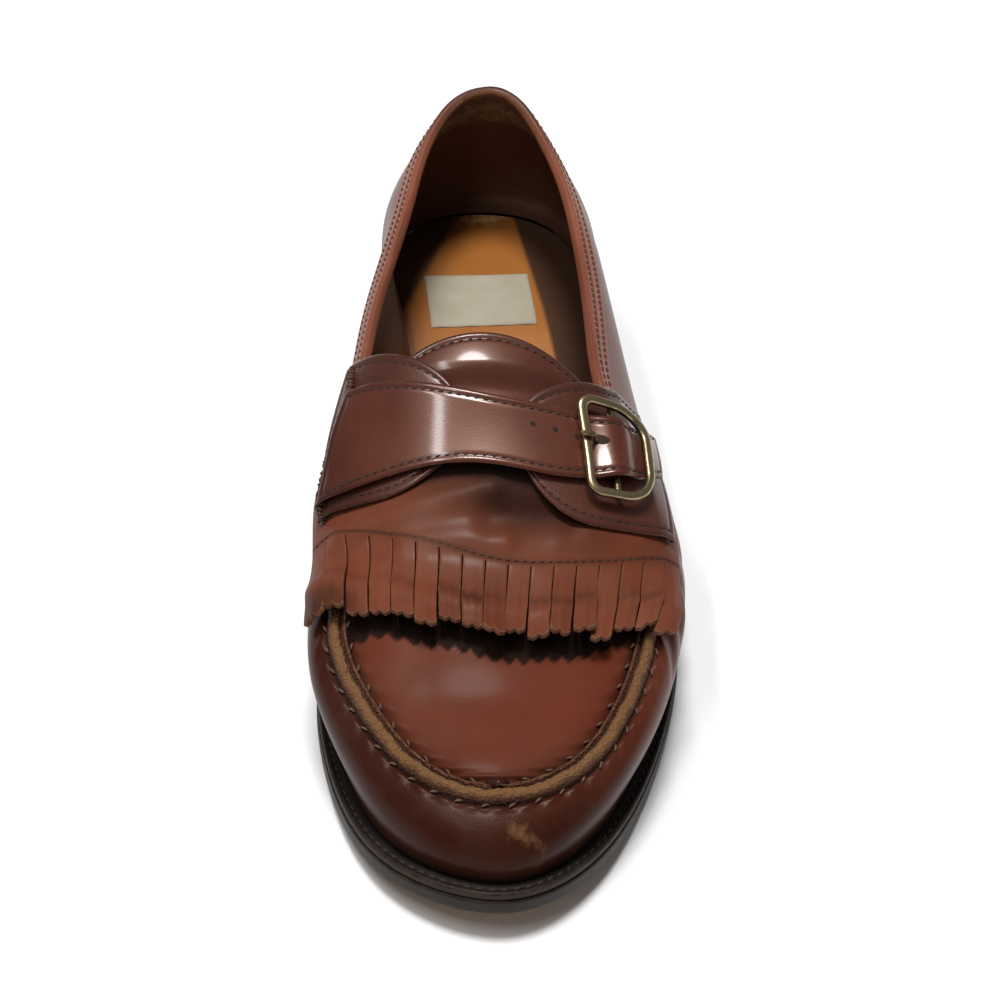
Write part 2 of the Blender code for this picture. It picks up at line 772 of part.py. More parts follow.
BUCKLE_PAIR_SCALE = pair_scale(BUCKLE_PAIR, BUCKLE_GIRTH)
BUCKLE_GIRTH_SCALE = girth_scale(BUCKLE_PAIR, BUCKLE_GIRTH)
BAR_LIFT = EAR_FACE + LAY_GAP + CENTRE_BAR / 2
HUMP_RISE = CENTRE_BAR + LAY_GAP


def across_buckle(pair, girth):
    """Distance of a place on the form from the buckle's centre bar, down the side."""
    down = (girth - BUCKLE_GIRTH) * BUCKLE_GIRTH_SCALE
    back = (pair - BUCKLE_PAIR) * BUCKLE_PAIR_SCALE
    return down * np.cos(BUCKLE_TURN) + back * np.sin(BUCKLE_TURN)


def hump(x):
    """The strap's rise over the buckle's centre bar, 0 to 1, at a distance from it."""
    return eased(HUMP_FLAT * (1 - np.abs(x) / (FRAME_WIDTH / 2 * HUMP_REACH)))


def build_strap():
    """The strap: from the medial seam over the instep, humped over the buckle's centre bar."""
    pairs, girths = tab_grid(STRAP_ROWS, 48, 6)
    lift = STRAP_FACE + HUMP_RISE * hump(across_buckle(pairs, girths))
    sheet("strap", laid(pairs, girths, lift), STRAP)


def frame_outline(count):
    """The frame's middle line in its own plane: a straight bar, and a rounded D beyond it."""
    long, wide = (FRAME_LENGTH - FRAME_BAR) / 2, (FRAME_WIDTH - FRAME_BAR) / 2
    near, far = FRAME_NEAR_CORNER, FRAME_FAR_CORNER
    quarter = np.linspace(0, np.pi / 2, 7)
    corners = (
        (long - near, -wide + near, near, np.pi / 2),
        (-long + near, -wide + near, near, np.pi),
        (-long + far, wide - far, far, 1.5 * np.pi),
        (long - far, wide - far, far, 2 * np.pi),
    )
    parts = []
    for y, x, radius, start in corners:
        angle = start + quarter
        parts.append(np.stack([y + radius * np.sin(angle), x + radius * np.cos(angle)], axis=1))
    path = np.concatenate(parts)
    steps = np.linalg.norm(np.roll(path, -1, 0) - path, axis=1)
    where = np.concatenate([[0], np.cumsum(steps)])
    path = np.concatenate([path, path[:1]])
    goal = np.arange(count) / count * where[-1]
    return np.stack([np.interp(goal, where, path[:, k]) for k in (0, 1)], axis=1)


def on_buckle(y, x, lift):
    """A point beside the buckle's middle: y heelwards, x down the side, in metres."""
    back = y * np.cos(BUCKLE_TURN) + x * np.sin(BUCKLE_TURN)
    down = x * np.cos(BUCKLE_TURN) - y * np.sin(BUCKLE_TURN)
    pair = BUCKLE_PAIR + back / BUCKLE_PAIR_SCALE
    girth = BUCKLE_GIRTH + down / BUCKLE_GIRTH_SCALE
    return laid(pair, girth, lift)


def swept(path, lifts, wide, thick, closed):
    """Loops of an oval section along a path in the buckle's plane."""
    ahead = np.roll(path, -1, 0) - np.roll(path, 1, 0) if closed else np.gradient(path, axis=0)
    ahead = ahead / np.linalg.norm(ahead, axis=1, keepdims=True)
    turn = np.arange(10) / 10 * 2 * np.pi
    aside = np.stack([-ahead[:, 1], ahead[:, 0]], axis=1)
    flat = path[:, None] + aside[:, None] * (np.cos(turn) * wide / 2)[None, :, None]
    lift = lifts[:, None] + np.sin(turn) * thick / 2
    return on_buckle(flat[..., 0], flat[..., 1], lift)


def tube(name, loops, closed):
    """A closed solid from loops along a path, with flat ends where the path is open."""
    rings, count = loops.shape[:2]
    faces = []
    for low in range(rings if closed else rings - 1):
        high = (low + 1) % rings
        for i in range(count):
            j = (i + 1) % count
            faces.append((low * count + i, low * count + j, high * count + j, high * count + i))
    if not closed:
        faces.append(tuple(range(count))[::-1])
        faces.append(tuple((rings - 1) * count + i for i in range(count)))
    thing = new_object(name, loops.reshape(-1, 3), faces)
    mesh = thing.data
    volume = sum(
        mesh.vertices[t.vertices[0]].co.dot(
            mesh.vertices[t.vertices[1]].co.cross(mesh.vertices[t.vertices[2]].co)
        )
        for t in mesh.loop_triangles
    )
    if volume < 0:
        mesh.flip_normals()
    return thing


def build_buckle():
    """The brass frame with its centre bar under the strap, and the prong over both."""
    lift = STRAP_FACE + LAY_GAP + FRAME_THICK / 2
    path = frame_outline(44)
    frame = tube("buckle_frame", swept(path, np.full(44, lift), FRAME_BAR, FRAME_THICK, True), True)
    reach = (FRAME_LENGTH - FRAME_BAR) / 2
    y = np.array([-1.0, -0.93, -0.86, -0.5, 0, 0.5, 0.86, 0.93, 1.0]) * reach
    drop = np.array([0, 0.5, 1, 1, 1, 1, 1, 0.5, 0])
    lifts = lift + (BAR_LIFT - lift) * drop
    bar_path = np.stack([y, 0 * y], axis=1)
    bar = tube("centre_bar", swept(bar_path, lifts, CENTRE_BAR, CENTRE_BAR, False), False)
    bar.hide_render = True
    bar.display_type = "WIRE"
    union = frame.modifiers.new("centre bar", "BOOLEAN")
    union.operation = "UNION"
    union.object = bar
    x = np.linspace(-FRAME_WIDTH / 2 - PRONG / 2, -PRONG_ROOT * FRAME_WIDTH, 9)
    over_strap = STRAP_FACE + HUMP_RISE * hump(x)
    near_bar = x < -FRAME_WIDTH / 2 + PRONG_REST * FRAME_BAR
    over_frame = np.where(near_bar, lift + FRAME_THICK / 2, 0)
    lifts = np.maximum(over_strap, over_frame) + GAP + PRONG / 2
    path = np.stack([np.full(9, PRONG_OFFSET), x], axis=1)
    tube("buckle_prong", swept(path, lifts, PRONG, PRONG, False), False)


def main():
    """Clears the scene and builds every piece."""
    for thing in list(bpy.data.objects):
        bpy.data.objects.remove(thing)
    build_outsole()
    build_welt()
    build_insole()
    build_heel()
    build_upper()
    build_tongue()
    build_kiltie()
    build_ears()
    build_strap()
    build_buckle()


main()
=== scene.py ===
"""Looks of a left kiltie loafer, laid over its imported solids.

Every piece is worked out from the shoe's own form. A pair is a share of the way from the toe (0)
to the heel (1) along both edges at once. A girth is a share across, from the medial welt (-1) over
the middle (0) to the lateral welt (1). The toe points along -Y, +X is lateral and +Z is up.
"""

import logging
from dataclasses import dataclass, field
from enum import Enum
from typing import NamedTuple

import bmesh
import bpy
import numpy as np
from mathutils import Euler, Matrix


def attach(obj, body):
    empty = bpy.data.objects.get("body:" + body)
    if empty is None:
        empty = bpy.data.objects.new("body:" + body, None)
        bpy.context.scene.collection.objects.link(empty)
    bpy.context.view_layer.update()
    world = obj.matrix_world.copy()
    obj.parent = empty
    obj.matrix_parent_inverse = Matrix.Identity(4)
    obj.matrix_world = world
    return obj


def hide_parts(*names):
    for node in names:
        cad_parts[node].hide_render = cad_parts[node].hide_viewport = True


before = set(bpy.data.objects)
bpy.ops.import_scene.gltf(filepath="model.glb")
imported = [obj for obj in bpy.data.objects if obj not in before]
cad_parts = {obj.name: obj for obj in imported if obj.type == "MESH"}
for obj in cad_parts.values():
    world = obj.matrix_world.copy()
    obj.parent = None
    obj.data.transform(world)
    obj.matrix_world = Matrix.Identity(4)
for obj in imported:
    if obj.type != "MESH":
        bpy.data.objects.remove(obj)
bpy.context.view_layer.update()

MM = 0.001
Array = np.ndarray
Colour = tuple[float, float, float]
Material = bpy.types.Material
Piece = bpy.types.Object
Socket = bpy.types.NodeSocket
LOG = logging.getLogger("loafer")
TURN = 2 * np.pi
UP = np.array([0.0, 0.0, 1.0])
FINE_STEP = 1e-3
CURVE_POINTS = 97


class Section(NamedTuple):
    """One row across the shoe: edges as shares of the local width, angles in degrees."""

    sole_at: float
    sole_in: float
    sole_out: float
    ledge: float
    rim_at: float
    rim_in: float
    rim_out: float
    rim_up: float
    foot_pitch: float
    rim_pitch: float
    crown_pitch: float


SECTIONS = (
    Section(1.000, -0.05, -0.05, 1.00, 0.944, -0.055, -0.055, 0.00, 108, 15, 10),
    Section(0.962, -0.29, 0.16, 1.00, 0.913, -0.26, 0.16, 0.01, 108, 16, 11),
    Section(0.885, -0.425, 0.305, 1.00, 0.844, -0.395, 0.295, 0.06, 110, 20, 15),
    Section(0.790, -0.49, 0.41, 0.90, 0.760, -0.475, 0.375, 0.17, 112, 28, 20),
    Section(0.690, -0.505, 0.48, 0.80, 0.668, -0.45, 0.385, 0.39, 115, 38, 28),
    Section(0.590, -0.455, 0.51, 0.70, 0.582, -0.45, 0.345, 0.66, 118, 50, 36),
    Section(0.490, -0.395, 0.53, 0.60, 0.506, -0.455, 0.30, 0.92, 114, 58, 45),
    Section(0.390, -0.39, 0.555, 0.50, 0.407, -0.485, 0.335, 1.00, 104, 50, 48),
    Section(0.290, -0.445, 0.555, 0.40, 0.305, -0.46, 0.36, 1.04, 90, 39, 48),
    Section(0.190, -0.50, 0.53, 0.35, 0.205, -0.38, 0.33, 1.21, 90, 46, 48),
    Section(0.100, -0.51, 0.50, 0.35, 0.122, -0.31, 0.26, 1.50, 94, 56, 48),
    Section(0.025, -0.33, 0.32, 0.35, 0.062, -0.18, 0.145, 1.88, 102, 68, 48),
    Section(0.000, 0.00, 0.00, 0.35, 0.038, 0.00, 0.00, 2.00, 106, 74, 48),
)


class Edge(NamedTuple):
    """One row along a tab or the strap: its heelward edge and its toeward edge on the form."""

    high_pair: float
    high_girth: float
    low_pair: float
    low_girth: float


class Strip(NamedTuple):
    """One column of the kiltie: its girth, and the pairs of its top edge, root and tips."""

    girth: float
    top: float
    root: float
    tip: float


def eased(value: Array) -> Array:
    """0 below 0, 1 above 1, with a smooth S between."""
    value = np.clip(value, 0.0, 1.0)
    return value * value * (3 - 2 * value)


def bell(value: Array) -> Array:
    """1 at 0, falling off evenly to both sides, as exp of minus the square."""
    return np.exp(-np.square(value))


def bezier(ends: tuple[Array, Array, Array, Array], share: Array) -> Array:
    """A cubic Bezier's point at each share, from its four control points.

    Args:
        ends: The control points.
        share: How far along, 0 to 1.

    Returns:
        Points.
    """
    share = np.asarray(share)[..., None]
    rest = 1 - share
    first, second, third, last = ends
    return rest**3 * first + 3 * rest**2 * share * second + 3 * rest * share**2 * third + share**3 * last


def unit(vectors: Array) -> Array:
    """Vectors scaled to length one."""
    return vectors / np.maximum(np.linalg.norm(vectors, axis=-1, keepdims=True), 1e-12)


def way_along(path: Array) -> Array:
    """The length of a path up to each of its points."""
    return np.concatenate([[0], np.cumsum(np.linalg.norm(np.diff(path, axis=0), axis=1))])


def at_lengths(goal: Array, way: Array, path: Array) -> Array:
    """A path's values at the lengths in goal, where way is the length at each of its points."""
    return np.stack([np.interp(goal, way, column) for column in path.T], axis=1)


def grid_normals(grid: Array, wrap: bool = False) -> Array:
    """Unit normals of a grid: the cross product of its steps across and along.

    Args:
        grid: Points, rows by columns by 3.
        wrap: Whether the last column meets the first.

    Returns:
        Unit vectors of the same shape.
    """
    along = np.gradient(grid, axis=0)
    if wrap:
        side = (np.roll(grid, -1, 1) - np.roll(grid, 1, 1)) / 2
    else:
        side = np.gradient(grid, axis=1)
    return unit(np.cross(side, along))


def open_spline(values: Array, count: int) -> Array:
    """Count points of the natural cubic spline through evenly spaced rows, ends included.

    Args:
        values: Rows of numbers.
        count: How many points come back.

    Returns:
        Rows with the same columns.
    """
    values = np.asarray(values, float)
    total = len(values)
    matrix = 4 * np.eye(total) + np.eye(total, k=1) + np.eye(total, k=-1)
    matrix[0, :2], matrix[-1, -2:] = (1, 0), (0, 1)
    turns = np.zeros_like(values)
    turns[1:-1] = 6 * (values[2:] - 2 * values[1:-1] + values[:-2])
    bends = np.linalg.solve(matrix, turns)
    where = np.linspace(0, total - 1, count)
    low = np.clip(np.floor(where).astype(int), 0, total - 2)
    part = (where - low)[:, None]
    rest = 1 - part
    line = values[low] * rest + values[low + 1] * part
    return line + (bends[low] * (rest**3 - rest) + bends[low + 1] * (part**3 - part)) / 6


@dataclass
class LastForm:
    """The shoe's own form: sole line, welt line, wall, rim and crown, from one table of rows."""

    length: float = 298 * MM
    ball_width: float = 107 * MM
    heel_width: float = 72 * MM
    heel_overhang: float = 36 * MM
    heel_height: float = 26 * MM
    toe_spring: float = 9 * MM
    arch_lift: float = 2.5 * MM
    outsole: float = 5 * MM
    welt: float = 2.5 * MM
    gap: float = 0.3 * MM
    margin: float = 3.2 * MM
    ledge: float = 4.5 * MM
    seam_width: float = 5.5 * MM
    heights: tuple[float, float, float] = (33 * MM, 75 * MM, 92 * MM)
    heel_flat: float = 0.18
    tread_back: float = 0.58
    tread_front: float = 0.72
    arch_middle: float = 0.40
    arch_reach: float = 0.17
    foot_reach: float = 0.38
    rim_reach: float = 0.40
    crown_reach: float = 0.36
    seam_share: float = 0.9
    soft_pair: float = 0.012
    soft_girth: float = 0.04
    ribs: int = 61
    steps: int = 121
    values: Array = field(init=False)
    bends: Array = field(init=False)
    across: Array = field(init=False)
    pairs: Array = field(init=False)
    shares: Array = field(init=False)

    def __post_init__(self) -> None:
        """Solves the closed spline once, then measures the ribs for girths."""
        count = len(SECTIONS)
        order = list(range(count)) + list(range(count - 2, 0, -1))
        self.values = np.array([self.row(SECTIONS[k], n < count) for n, k in enumerate(order)])
        unit_matrix = np.eye(len(order))
        matrix = 4 * unit_matrix + np.roll(unit_matrix, 1, 0) + np.roll(unit_matrix, -1, 0)
        turns = np.roll(self.values, -1, 0) - 2 * self.values + np.roll(self.values, 1, 0)
        self.bends = np.linalg.solve(matrix, 6 * turns)
        self.across = np.linspace(-2, 2, self.steps)
        self.pairs = np.linspace(0.1, 0.7, self.ribs)
        points = self.rib(self.pairs[:, None], self.across[None, :])
        lengths = np.linalg.norm(np.diff(points, axis=1), axis=-1)
        length = np.concatenate([np.zeros((self.ribs, 1)), np.cumsum(lengths, axis=1)], axis=1)
        length -= length[:, self.steps // 2, None]
        self.shares = np.where(length < 0, -length / length[:, :1], length / length[:, -1:])

    def place(self, station: float) -> float:
        """Y of a share of the sole's length, from the heel's back."""
        return self.heel_overhang - self.length * station

    def station(self, y: Array) -> Array:
        """The share of the sole's length of a Y."""
        return (self.heel_overhang - y) / self.length

    def row(self, section: Section, outer: bool) -> tuple[float, ...]:
        """One row of the closed spline in metres and radians, for the outer or inner side.

        Args:
            section: The row of the table.
            outer: Whether the side is the lateral one.

        Returns:
            The row's numbers, places first and pitches last.
        """
        spread = self.ball_width - self.heel_width
        sole_width = self.heel_width + spread * eased((section.sole_at - 0.3) / 0.35)
        rim_width = self.heel_width + spread * eased((section.rim_at - 0.3) / 0.35)
        return (
            (section.sole_out if outer else section.sole_in) * sole_width,
            self.place(section.sole_at),
            section.ledge * self.ledge,
            (section.rim_out if outer else section.rim_in) * rim_width,
            self.place(section.rim_at),
            np.interp(section.rim_up, (0, 1, 2), self.heights),
            *np.radians((section.foot_pitch, section.rim_pitch, section.crown_pitch)),
        )

    def loop(self, u: Array) -> Array:
        """The table's columns at u, 0 to 1 round the shoe from the toe by the lateral side.

        Args:
            u: Places round the shoe, 0 to 1.

        Returns:
            The closed spline's values, columns last.
        """
        count = len(self.values)
        where = (np.asarray(u, float) % 1.0) * count
        low = np.floor(where).astype(int) % count
        high = (low + 1) % count
        part = (where - np.floor(where))[..., None]
        rest = 1 - part
        straight = self.values[low] * rest + self.values[high] * part
        bend = self.bends[low] * (rest**3 - rest) + self.bends[high] * (part**3 - part)
        return straight + bend / 6

    def outward(self, u: Array, column: int) -> Array:
        """Unit vectors in plan that point out of the outline whose x is in the column.

        Args:
            u: Places round the shoe, 0 to 1.
            column: 0 for the sole's outline, 3 for the rim's.

        Returns:
            Vectors x, y.
        """
        step = 1e-4
        ahead = self.loop(u + step)[..., column : column + 2]
        along = unit(ahead - self.loop(u - step)[..., column : column + 2])
        return np.stack([along[..., 1], -along[..., 0]], axis=-1)

    def underside(self, x: Array, y: Array) -> Array:
        """Height of the outsole's bottom: heel seat, arch, flat tread and toe spring.

        Args:
            x: Distance from the middle, to the lateral side.
            y: Distance heelwards.

        Returns:
            Heights.
        """
        at = self.station(y)
        rise = (at - self.heel_flat) / (self.tread_back - self.heel_flat)
        seat = self.heel_height * (1 - eased(rise))
        front = np.clip((at - self.tread_front) / (1 - self.tread_front), 0, None)
        hollow = np.clip(1 - np.square((at - self.arch_middle) / self.arch_reach), 0, None)
        inner = 0.5 - x / self.ball_width
        return seat + self.toe_spring * front**2 + self.arch_lift * hollow**2 * inner

    def sole_edge(self, u: Array, inset: Array) -> Array:
        """Plan points of the sole's outline, moved inwards by inset."""
        return self.loop(u)[..., 0:2] - self.outward(u, 0) * np.asarray(inset)[..., None]

    def on_sole(self, plan: Array, height: Array) -> Array:
        """Plan points raised to a height above the outsole's bottom."""
        z = self.underside(plan[..., 0], plan[..., 1]) + height
        return np.concatenate([plan, z[..., None]], axis=-1)

    @property
    def base(self) -> float:
        """Height of the upper's lower edge over the outsole's bottom."""
        return self.outsole + self.gap + self.welt + self.gap

    def feather(self, u: Array) -> Array:
        """The upper's lower edge, on the welt."""
        return self.on_sole(self.sole_edge(u, self.loop(u)[..., 2]), self.base)

    def rim(self, u: Array) -> Array:
        """The upper's upper edge: the apron's seam in front, the topline behind."""
        return self.loop(u)[..., 3:6]

    @staticmethod
    def aimed(outwards: Array, pitch: Array) -> Array:
        """Unit vectors that point inwards, turned up from the floor by pitch."""
        flat = -outwards * np.cos(pitch)[..., None]
        return np.concatenate([flat, np.sin(pitch)[..., None]], axis=-1)

    def wall(self, u: Array, up: Array) -> Array:
        """The upper's outer face: a Bezier from the margin at the welt (0) to the rim (1).

        Args:
            u: Places round the shoe, 0 to 1.
            up: Shares of the way up.

        Returns:
            Points.
        """
        values = self.loop(u)
        start = self.feather(u) + UP * self.margin
        end = self.rim(u)
        reach = np.linalg.norm(end - start, axis=-1, keepdims=True)
        foot = start + self.aimed(self.outward(u, 0), values[..., 6]) * reach * self.foot_reach
        shoulder = end - self.aimed(self.outward(u, 3), values[..., 7]) * reach * self.rim_reach
        return bezier((start, foot, shoulder, end), up)

    def wall_normal(self, u: Array, up: Array) -> Array:
        """The wall's outward unit normal: the cross product of a small step along and one up."""
        side = self.wall(u + FINE_STEP, up) - self.wall(u - FINE_STEP, up)
        return unit(np.cross(side, self.wall(u, up + FINE_STEP) - self.wall(u, up - FINE_STEP)))

    def seam_line(self, u: Array, inwards: Array) -> Array:
        """Points beside the rim, inwards by a distance, on the slope where the apron starts.

        Args:
            u: Places round the shoe, 0 to 1.
            inwards: Distances from the rim.

        Returns:
            Points.
        """
        inwards = np.asarray(inwards, float)
        slope = self.aimed(self.outward(u, 3), self.loop(u)[..., 8])
        return self.rim(u) + slope * inwards[..., None]

    def crown(self, pair: Array, across: Array) -> Array:
        """The apron and instep: a Bezier from the medial seam (-1) to the lateral seam (1).

        Args:
            pair: Shares of the way from toe to heel.
            across: Shares across, -1 to 1.

        Returns:
            Points.
        """
        width = np.full(np.shape(pair), self.seam_width)
        left = self.seam_line(1 - pair / 2, width)
        right = self.seam_line(pair / 2, width)
        chord = right - left
        reach = np.linalg.norm(chord, axis=-1, keepdims=True)
        side = chord / np.maximum(reach, 1e-9)
        pitch = self.loop(pair / 2)[..., 8:9]
        up = UP * np.sin(pitch)
        first = left + (side * np.cos(pitch) + up) * reach * self.crown_reach
        second = right + (-side * np.cos(pitch) + up) * reach * self.crown_reach
        return bezier((left, first, second, right), (np.asarray(across) + 1) / 2)

    def rib(self, pair: Array, across: Array) -> Array:
        """The outer form: -2 is the medial welt, -1 and 1 the rims, 2 the lateral welt.

        Args:
            pair: Shares of the way from toe to heel.
            across: Where on the rib, -2 to 2.

        Returns:
            Points.
        """
        pair, across = np.broadcast_arrays(np.asarray(pair, float), np.asarray(across, float))
        u = np.where(across < 0, 1 - pair / 2, pair / 2)
        side = np.abs(across)
        inner = self.seam_line(u, np.full(u.shape, self.seam_width))
        part = np.clip((side - self.seam_share) / (1 - self.seam_share), 0, 1)[..., None]
        over_seam = inner * (1 - part) + self.rim(u) * part
        top = self.crown(pair, np.clip(across / self.seam_share, -1, 1))
        low = self.wall(u, np.clip(2 - side, 0, 1))
        upper = np.where((side > self.seam_share)[..., None], over_seam, top)
        return np.where((side > 1)[..., None], low, upper)

    def form(self, pair: Array, girth: Array) -> Array:
        """A point of the form at a pair and a girth, found by arc length along its rib.

        Args:
            pair: Shares of the way from toe to heel.
            girth: Shares across, -1 to 1.

        Returns:
            Points.
        """
        pair, girth = np.broadcast_arrays(np.asarray(pair, float), np.asarray(girth, float))
        where = np.interp(pair, self.pairs, np.arange(self.ribs))
        low = np.clip(np.floor(where).astype(int), 0, self.ribs - 2)
        part = (where - low)[..., None]
        shares = self.shares[low] * (1 - part) + self.shares[low + 1] * part
        index = np.clip((shares < girth[..., None]).sum(axis=-1) - 1, 0, self.steps - 2)
        before = np.take_along_axis(shares, index[..., None], axis=-1)[..., 0]
        after = np.take_along_axis(shares, index[..., None] + 1, axis=-1)[..., 0]
        step = (girth - before) / (after - before)
        return self.rib(pair, self.across[index] + step * (self.across[1] - self.across[0]))

    def laid(self, pair: Array, girth: Array, lift: Array) -> Array:
        """Points at a height over the form, along its smoothed normal.

        Args:
            pair: Shares of the way from toe to heel.
            girth: Shares across, -1 to 1.
            lift: Heights over the form.

        Returns:
            Points.
        """
        pair, girth, lift = np.broadcast_arrays(*(np.asarray(v, float) for v in (pair, girth, lift)))
        along = self.form(pair + self.soft_pair, girth) - self.form(pair - self.soft_pair, girth)
        side = self.form(pair, girth + self.soft_girth) - self.form(pair, girth - self.soft_girth)
        return self.form(pair, girth) + unit(np.cross(side, along)) * lift[..., None]

    def laid_line(self, pair: Array, girth: Array, lift: Array) -> tuple[Array, Array]:
        """A laid line, and the unit vectors along which its lift grows."""
        line = self.laid(pair, girth, lift)
        return line, unit(self.laid(pair, girth, lift + 1 * MM) - line)


LAST = LastForm()
WALL = 2 * MM
THROAT = 0.44


@dataclass(frozen=True)
class Crease:
    """A soft trough (depth above 0) or ridge (below 0) along a straight run, in metres."""

    start: tuple[float, float, float]
    end: tuple[float, float, float]
    depth: float
    width: float

    def at(self, points: Array) -> Array:
        """How far each point sinks: depth times a bell of its distance from the run.

        Args:
            points: Points of a surface.

        Returns:
            Depths.
        """
        start, end = np.array(self.start), np.array(self.end)
        run = end - start
        share = np.clip((points - start) @ run / (run @ run), 0, 1)
        away = np.linalg.norm(points - start - share[..., None] * run, axis=-1)
        return self.depth * bell(away / self.width)


class Scuff(NamedTuple):
    """A rubbed spot on the toe: how worn it is, its middle, and its half sizes."""

    worn: float
    x: float
    y: float
    wide: float
    long: float


class Wave(NamedTuple):
    """One sine of a worn edge: its height, its speed along u, its phase, its slant across."""

    height: float
    speed: float
    phase: float = 0.0
    slant: float = 0.0


def uneven(waves: tuple[Wave, ...], u: Array, share: Array | float = 0.0) -> Array:
    """The sum of the waves at u, each with its phase moved on by its slant times the share."""
    return sum(wave.height * np.sin(u * wave.speed + wave.phase + wave.slant * share) for wave in waves)


def sunk(grid: Array, creases: tuple[Crease, ...], wrap: bool = False) -> Array:
    """The grid moved in along its normals by the sum of its creases."""
    depth = sum((crease.at(grid) for crease in creases), np.zeros(grid.shape[:2]))
    return grid - grid_normals(grid, wrap) * depth[..., None]


def edge_distance(grid: Array) -> Array:
    """Distance of each point of a grid from its nearest border, along the rows or columns.

    Args:
        grid: Points, rows by columns by 3.

    Returns:
        Distances.
    """

    def run(axis: int) -> Array:
        """The shorter way to either end along one axis.

        Args:
            axis: 0 along the columns, 1 along the rows.

        Returns:
            Distances.
        """
        steps = np.linalg.norm(np.diff(grid, axis=axis), axis=-1)
        pad = [(0, 0), (0, 0)]
        pad[axis] = (1, 0)
        length = np.pad(np.cumsum(steps, axis=axis), pad)
        return np.minimum(length, np.take(length, [-1], axis=axis) - length)

    return np.minimum(run(0), run(1))


class Mesh:
    """Points and faces gathered in numpy and put into Blender once."""

    def __init__(self, name: str) -> None:
        """Starts an empty piece.

        Args:
            name: The piece's name.
        """
        self.name = name
        self.points: list[Array] = []
        self.faces: list[Array] = []
        self.marks: dict[str, list[Array]] = {}
        self.count = 0

    def grid(self, grid: Array, wrap_rows: bool = False, wrap_columns: bool = False,
             flip: bool = False, keep: Array | None = None, **marks: Array) -> "Mesh":
        """Adds quads between neighbours of a grid whose steps across and along face out.

        Args:
            grid: Points, rows by columns by 3.
            wrap_rows: Whether the last row meets the first.
            wrap_columns: Whether the last column meets the first.
            flip: Whether the faces turn round.
            keep: Which quads stay, or None for all.
            marks: Values at the points, kept as attributes.

        Returns:
            The mesh, for more.
        """
        rows, columns = grid.shape[:2]
        index = np.arange(rows * columns).reshape(rows, columns) + self.count
        if wrap_rows:
            index = np.vstack([index, index[:1]])
        if wrap_columns:
            index = np.hstack([index, index[:, :1]])
        corners = (index[:-1, :-1], index[:-1, 1:], index[1:, 1:], index[1:, :-1])
        quads = np.stack(corners, axis=-1)
        quads = quads[keep] if keep is not None else quads.reshape(-1, 4)
        self.faces.append(quads[:, ::-1] if flip else quads)
        self.points.append(grid.reshape(-1, 3))
        for name, values in marks.items():
            spread = np.broadcast_to(values, (rows, columns)).ravel()
            self.marks.setdefault(name, []).append(spread)
        self.count += rows * columns
        return self

    def make(self, merge: bool = False, outwards: bool = False) -> Piece:
        """Puts the arrays into a smooth-shaded object.

        Args:
            merge: Whether points in one place, such as poles, become one.
            outwards: Whether the merged faces are then turned outwards.

        Returns:
            The object, linked to the scene.
        """
        mesh = bpy.data.meshes.new(self.name)
        points = np.concatenate(self.points)
        quads = np.concatenate(self.faces).astype(np.int32)
        mesh.vertices.add(len(points))
        mesh.vertices.foreach_set("co", points.astype(np.float32).ravel())
        mesh.loops.add(quads.size)
        mesh.loops.foreach_set("vertex_index", quads.ravel())
        mesh.polygons.add(len(quads))
        mesh.polygons.foreach_set("loop_start", np.arange(0, quads.size, 4, dtype=np.int32))
        mesh.update()
        for name, parts in self.marks.items():
            values = np.concatenate(parts).astype(np.float32)
            mesh.attributes.new(name, "FLOAT", "POINT").data.foreach_set("value", values)
        if merge:
            work = bmesh.new()
            work.from_mesh(mesh)
            bmesh.ops.remove_doubles(work, verts=work.verts, dist=1e-6)
            if outwards:
                bmesh.ops.recalc_face_normals(work, faces=work.faces)
            work.to_mesh(mesh)
            work.free()
        mesh.validate()
        mesh.shade_smooth()
        thing = bpy.data.objects.new(self.name, mesh)
        bpy.context.scene.collection.objects.link(thing)
        return thing


def thicken(thing: Piece, thickness: float, rounding: float = 0.0) -> Piece:
    """Gives a sheet its wall inwards from its face, and rounds the wall's edges.

    Args:
        thing: The sheet.
        thickness: The wall's.
        rounding: The edges' radius, or 0.

    Returns:
        The same piece.
    """
    wall = thing.modifiers.new("wall", "SOLIDIFY")
    wall.thickness = thickness
    wall.offset = -1
    wall.use_rim = True
    if rounding:
        bevel = thing.modifiers.new("rounded edge", "BEVEL")
        bevel.width = rounding
        bevel.segments = 2
        bevel.limit_method = "ANGLE"
        bevel.angle_limit = np.radians(50)
    return thing


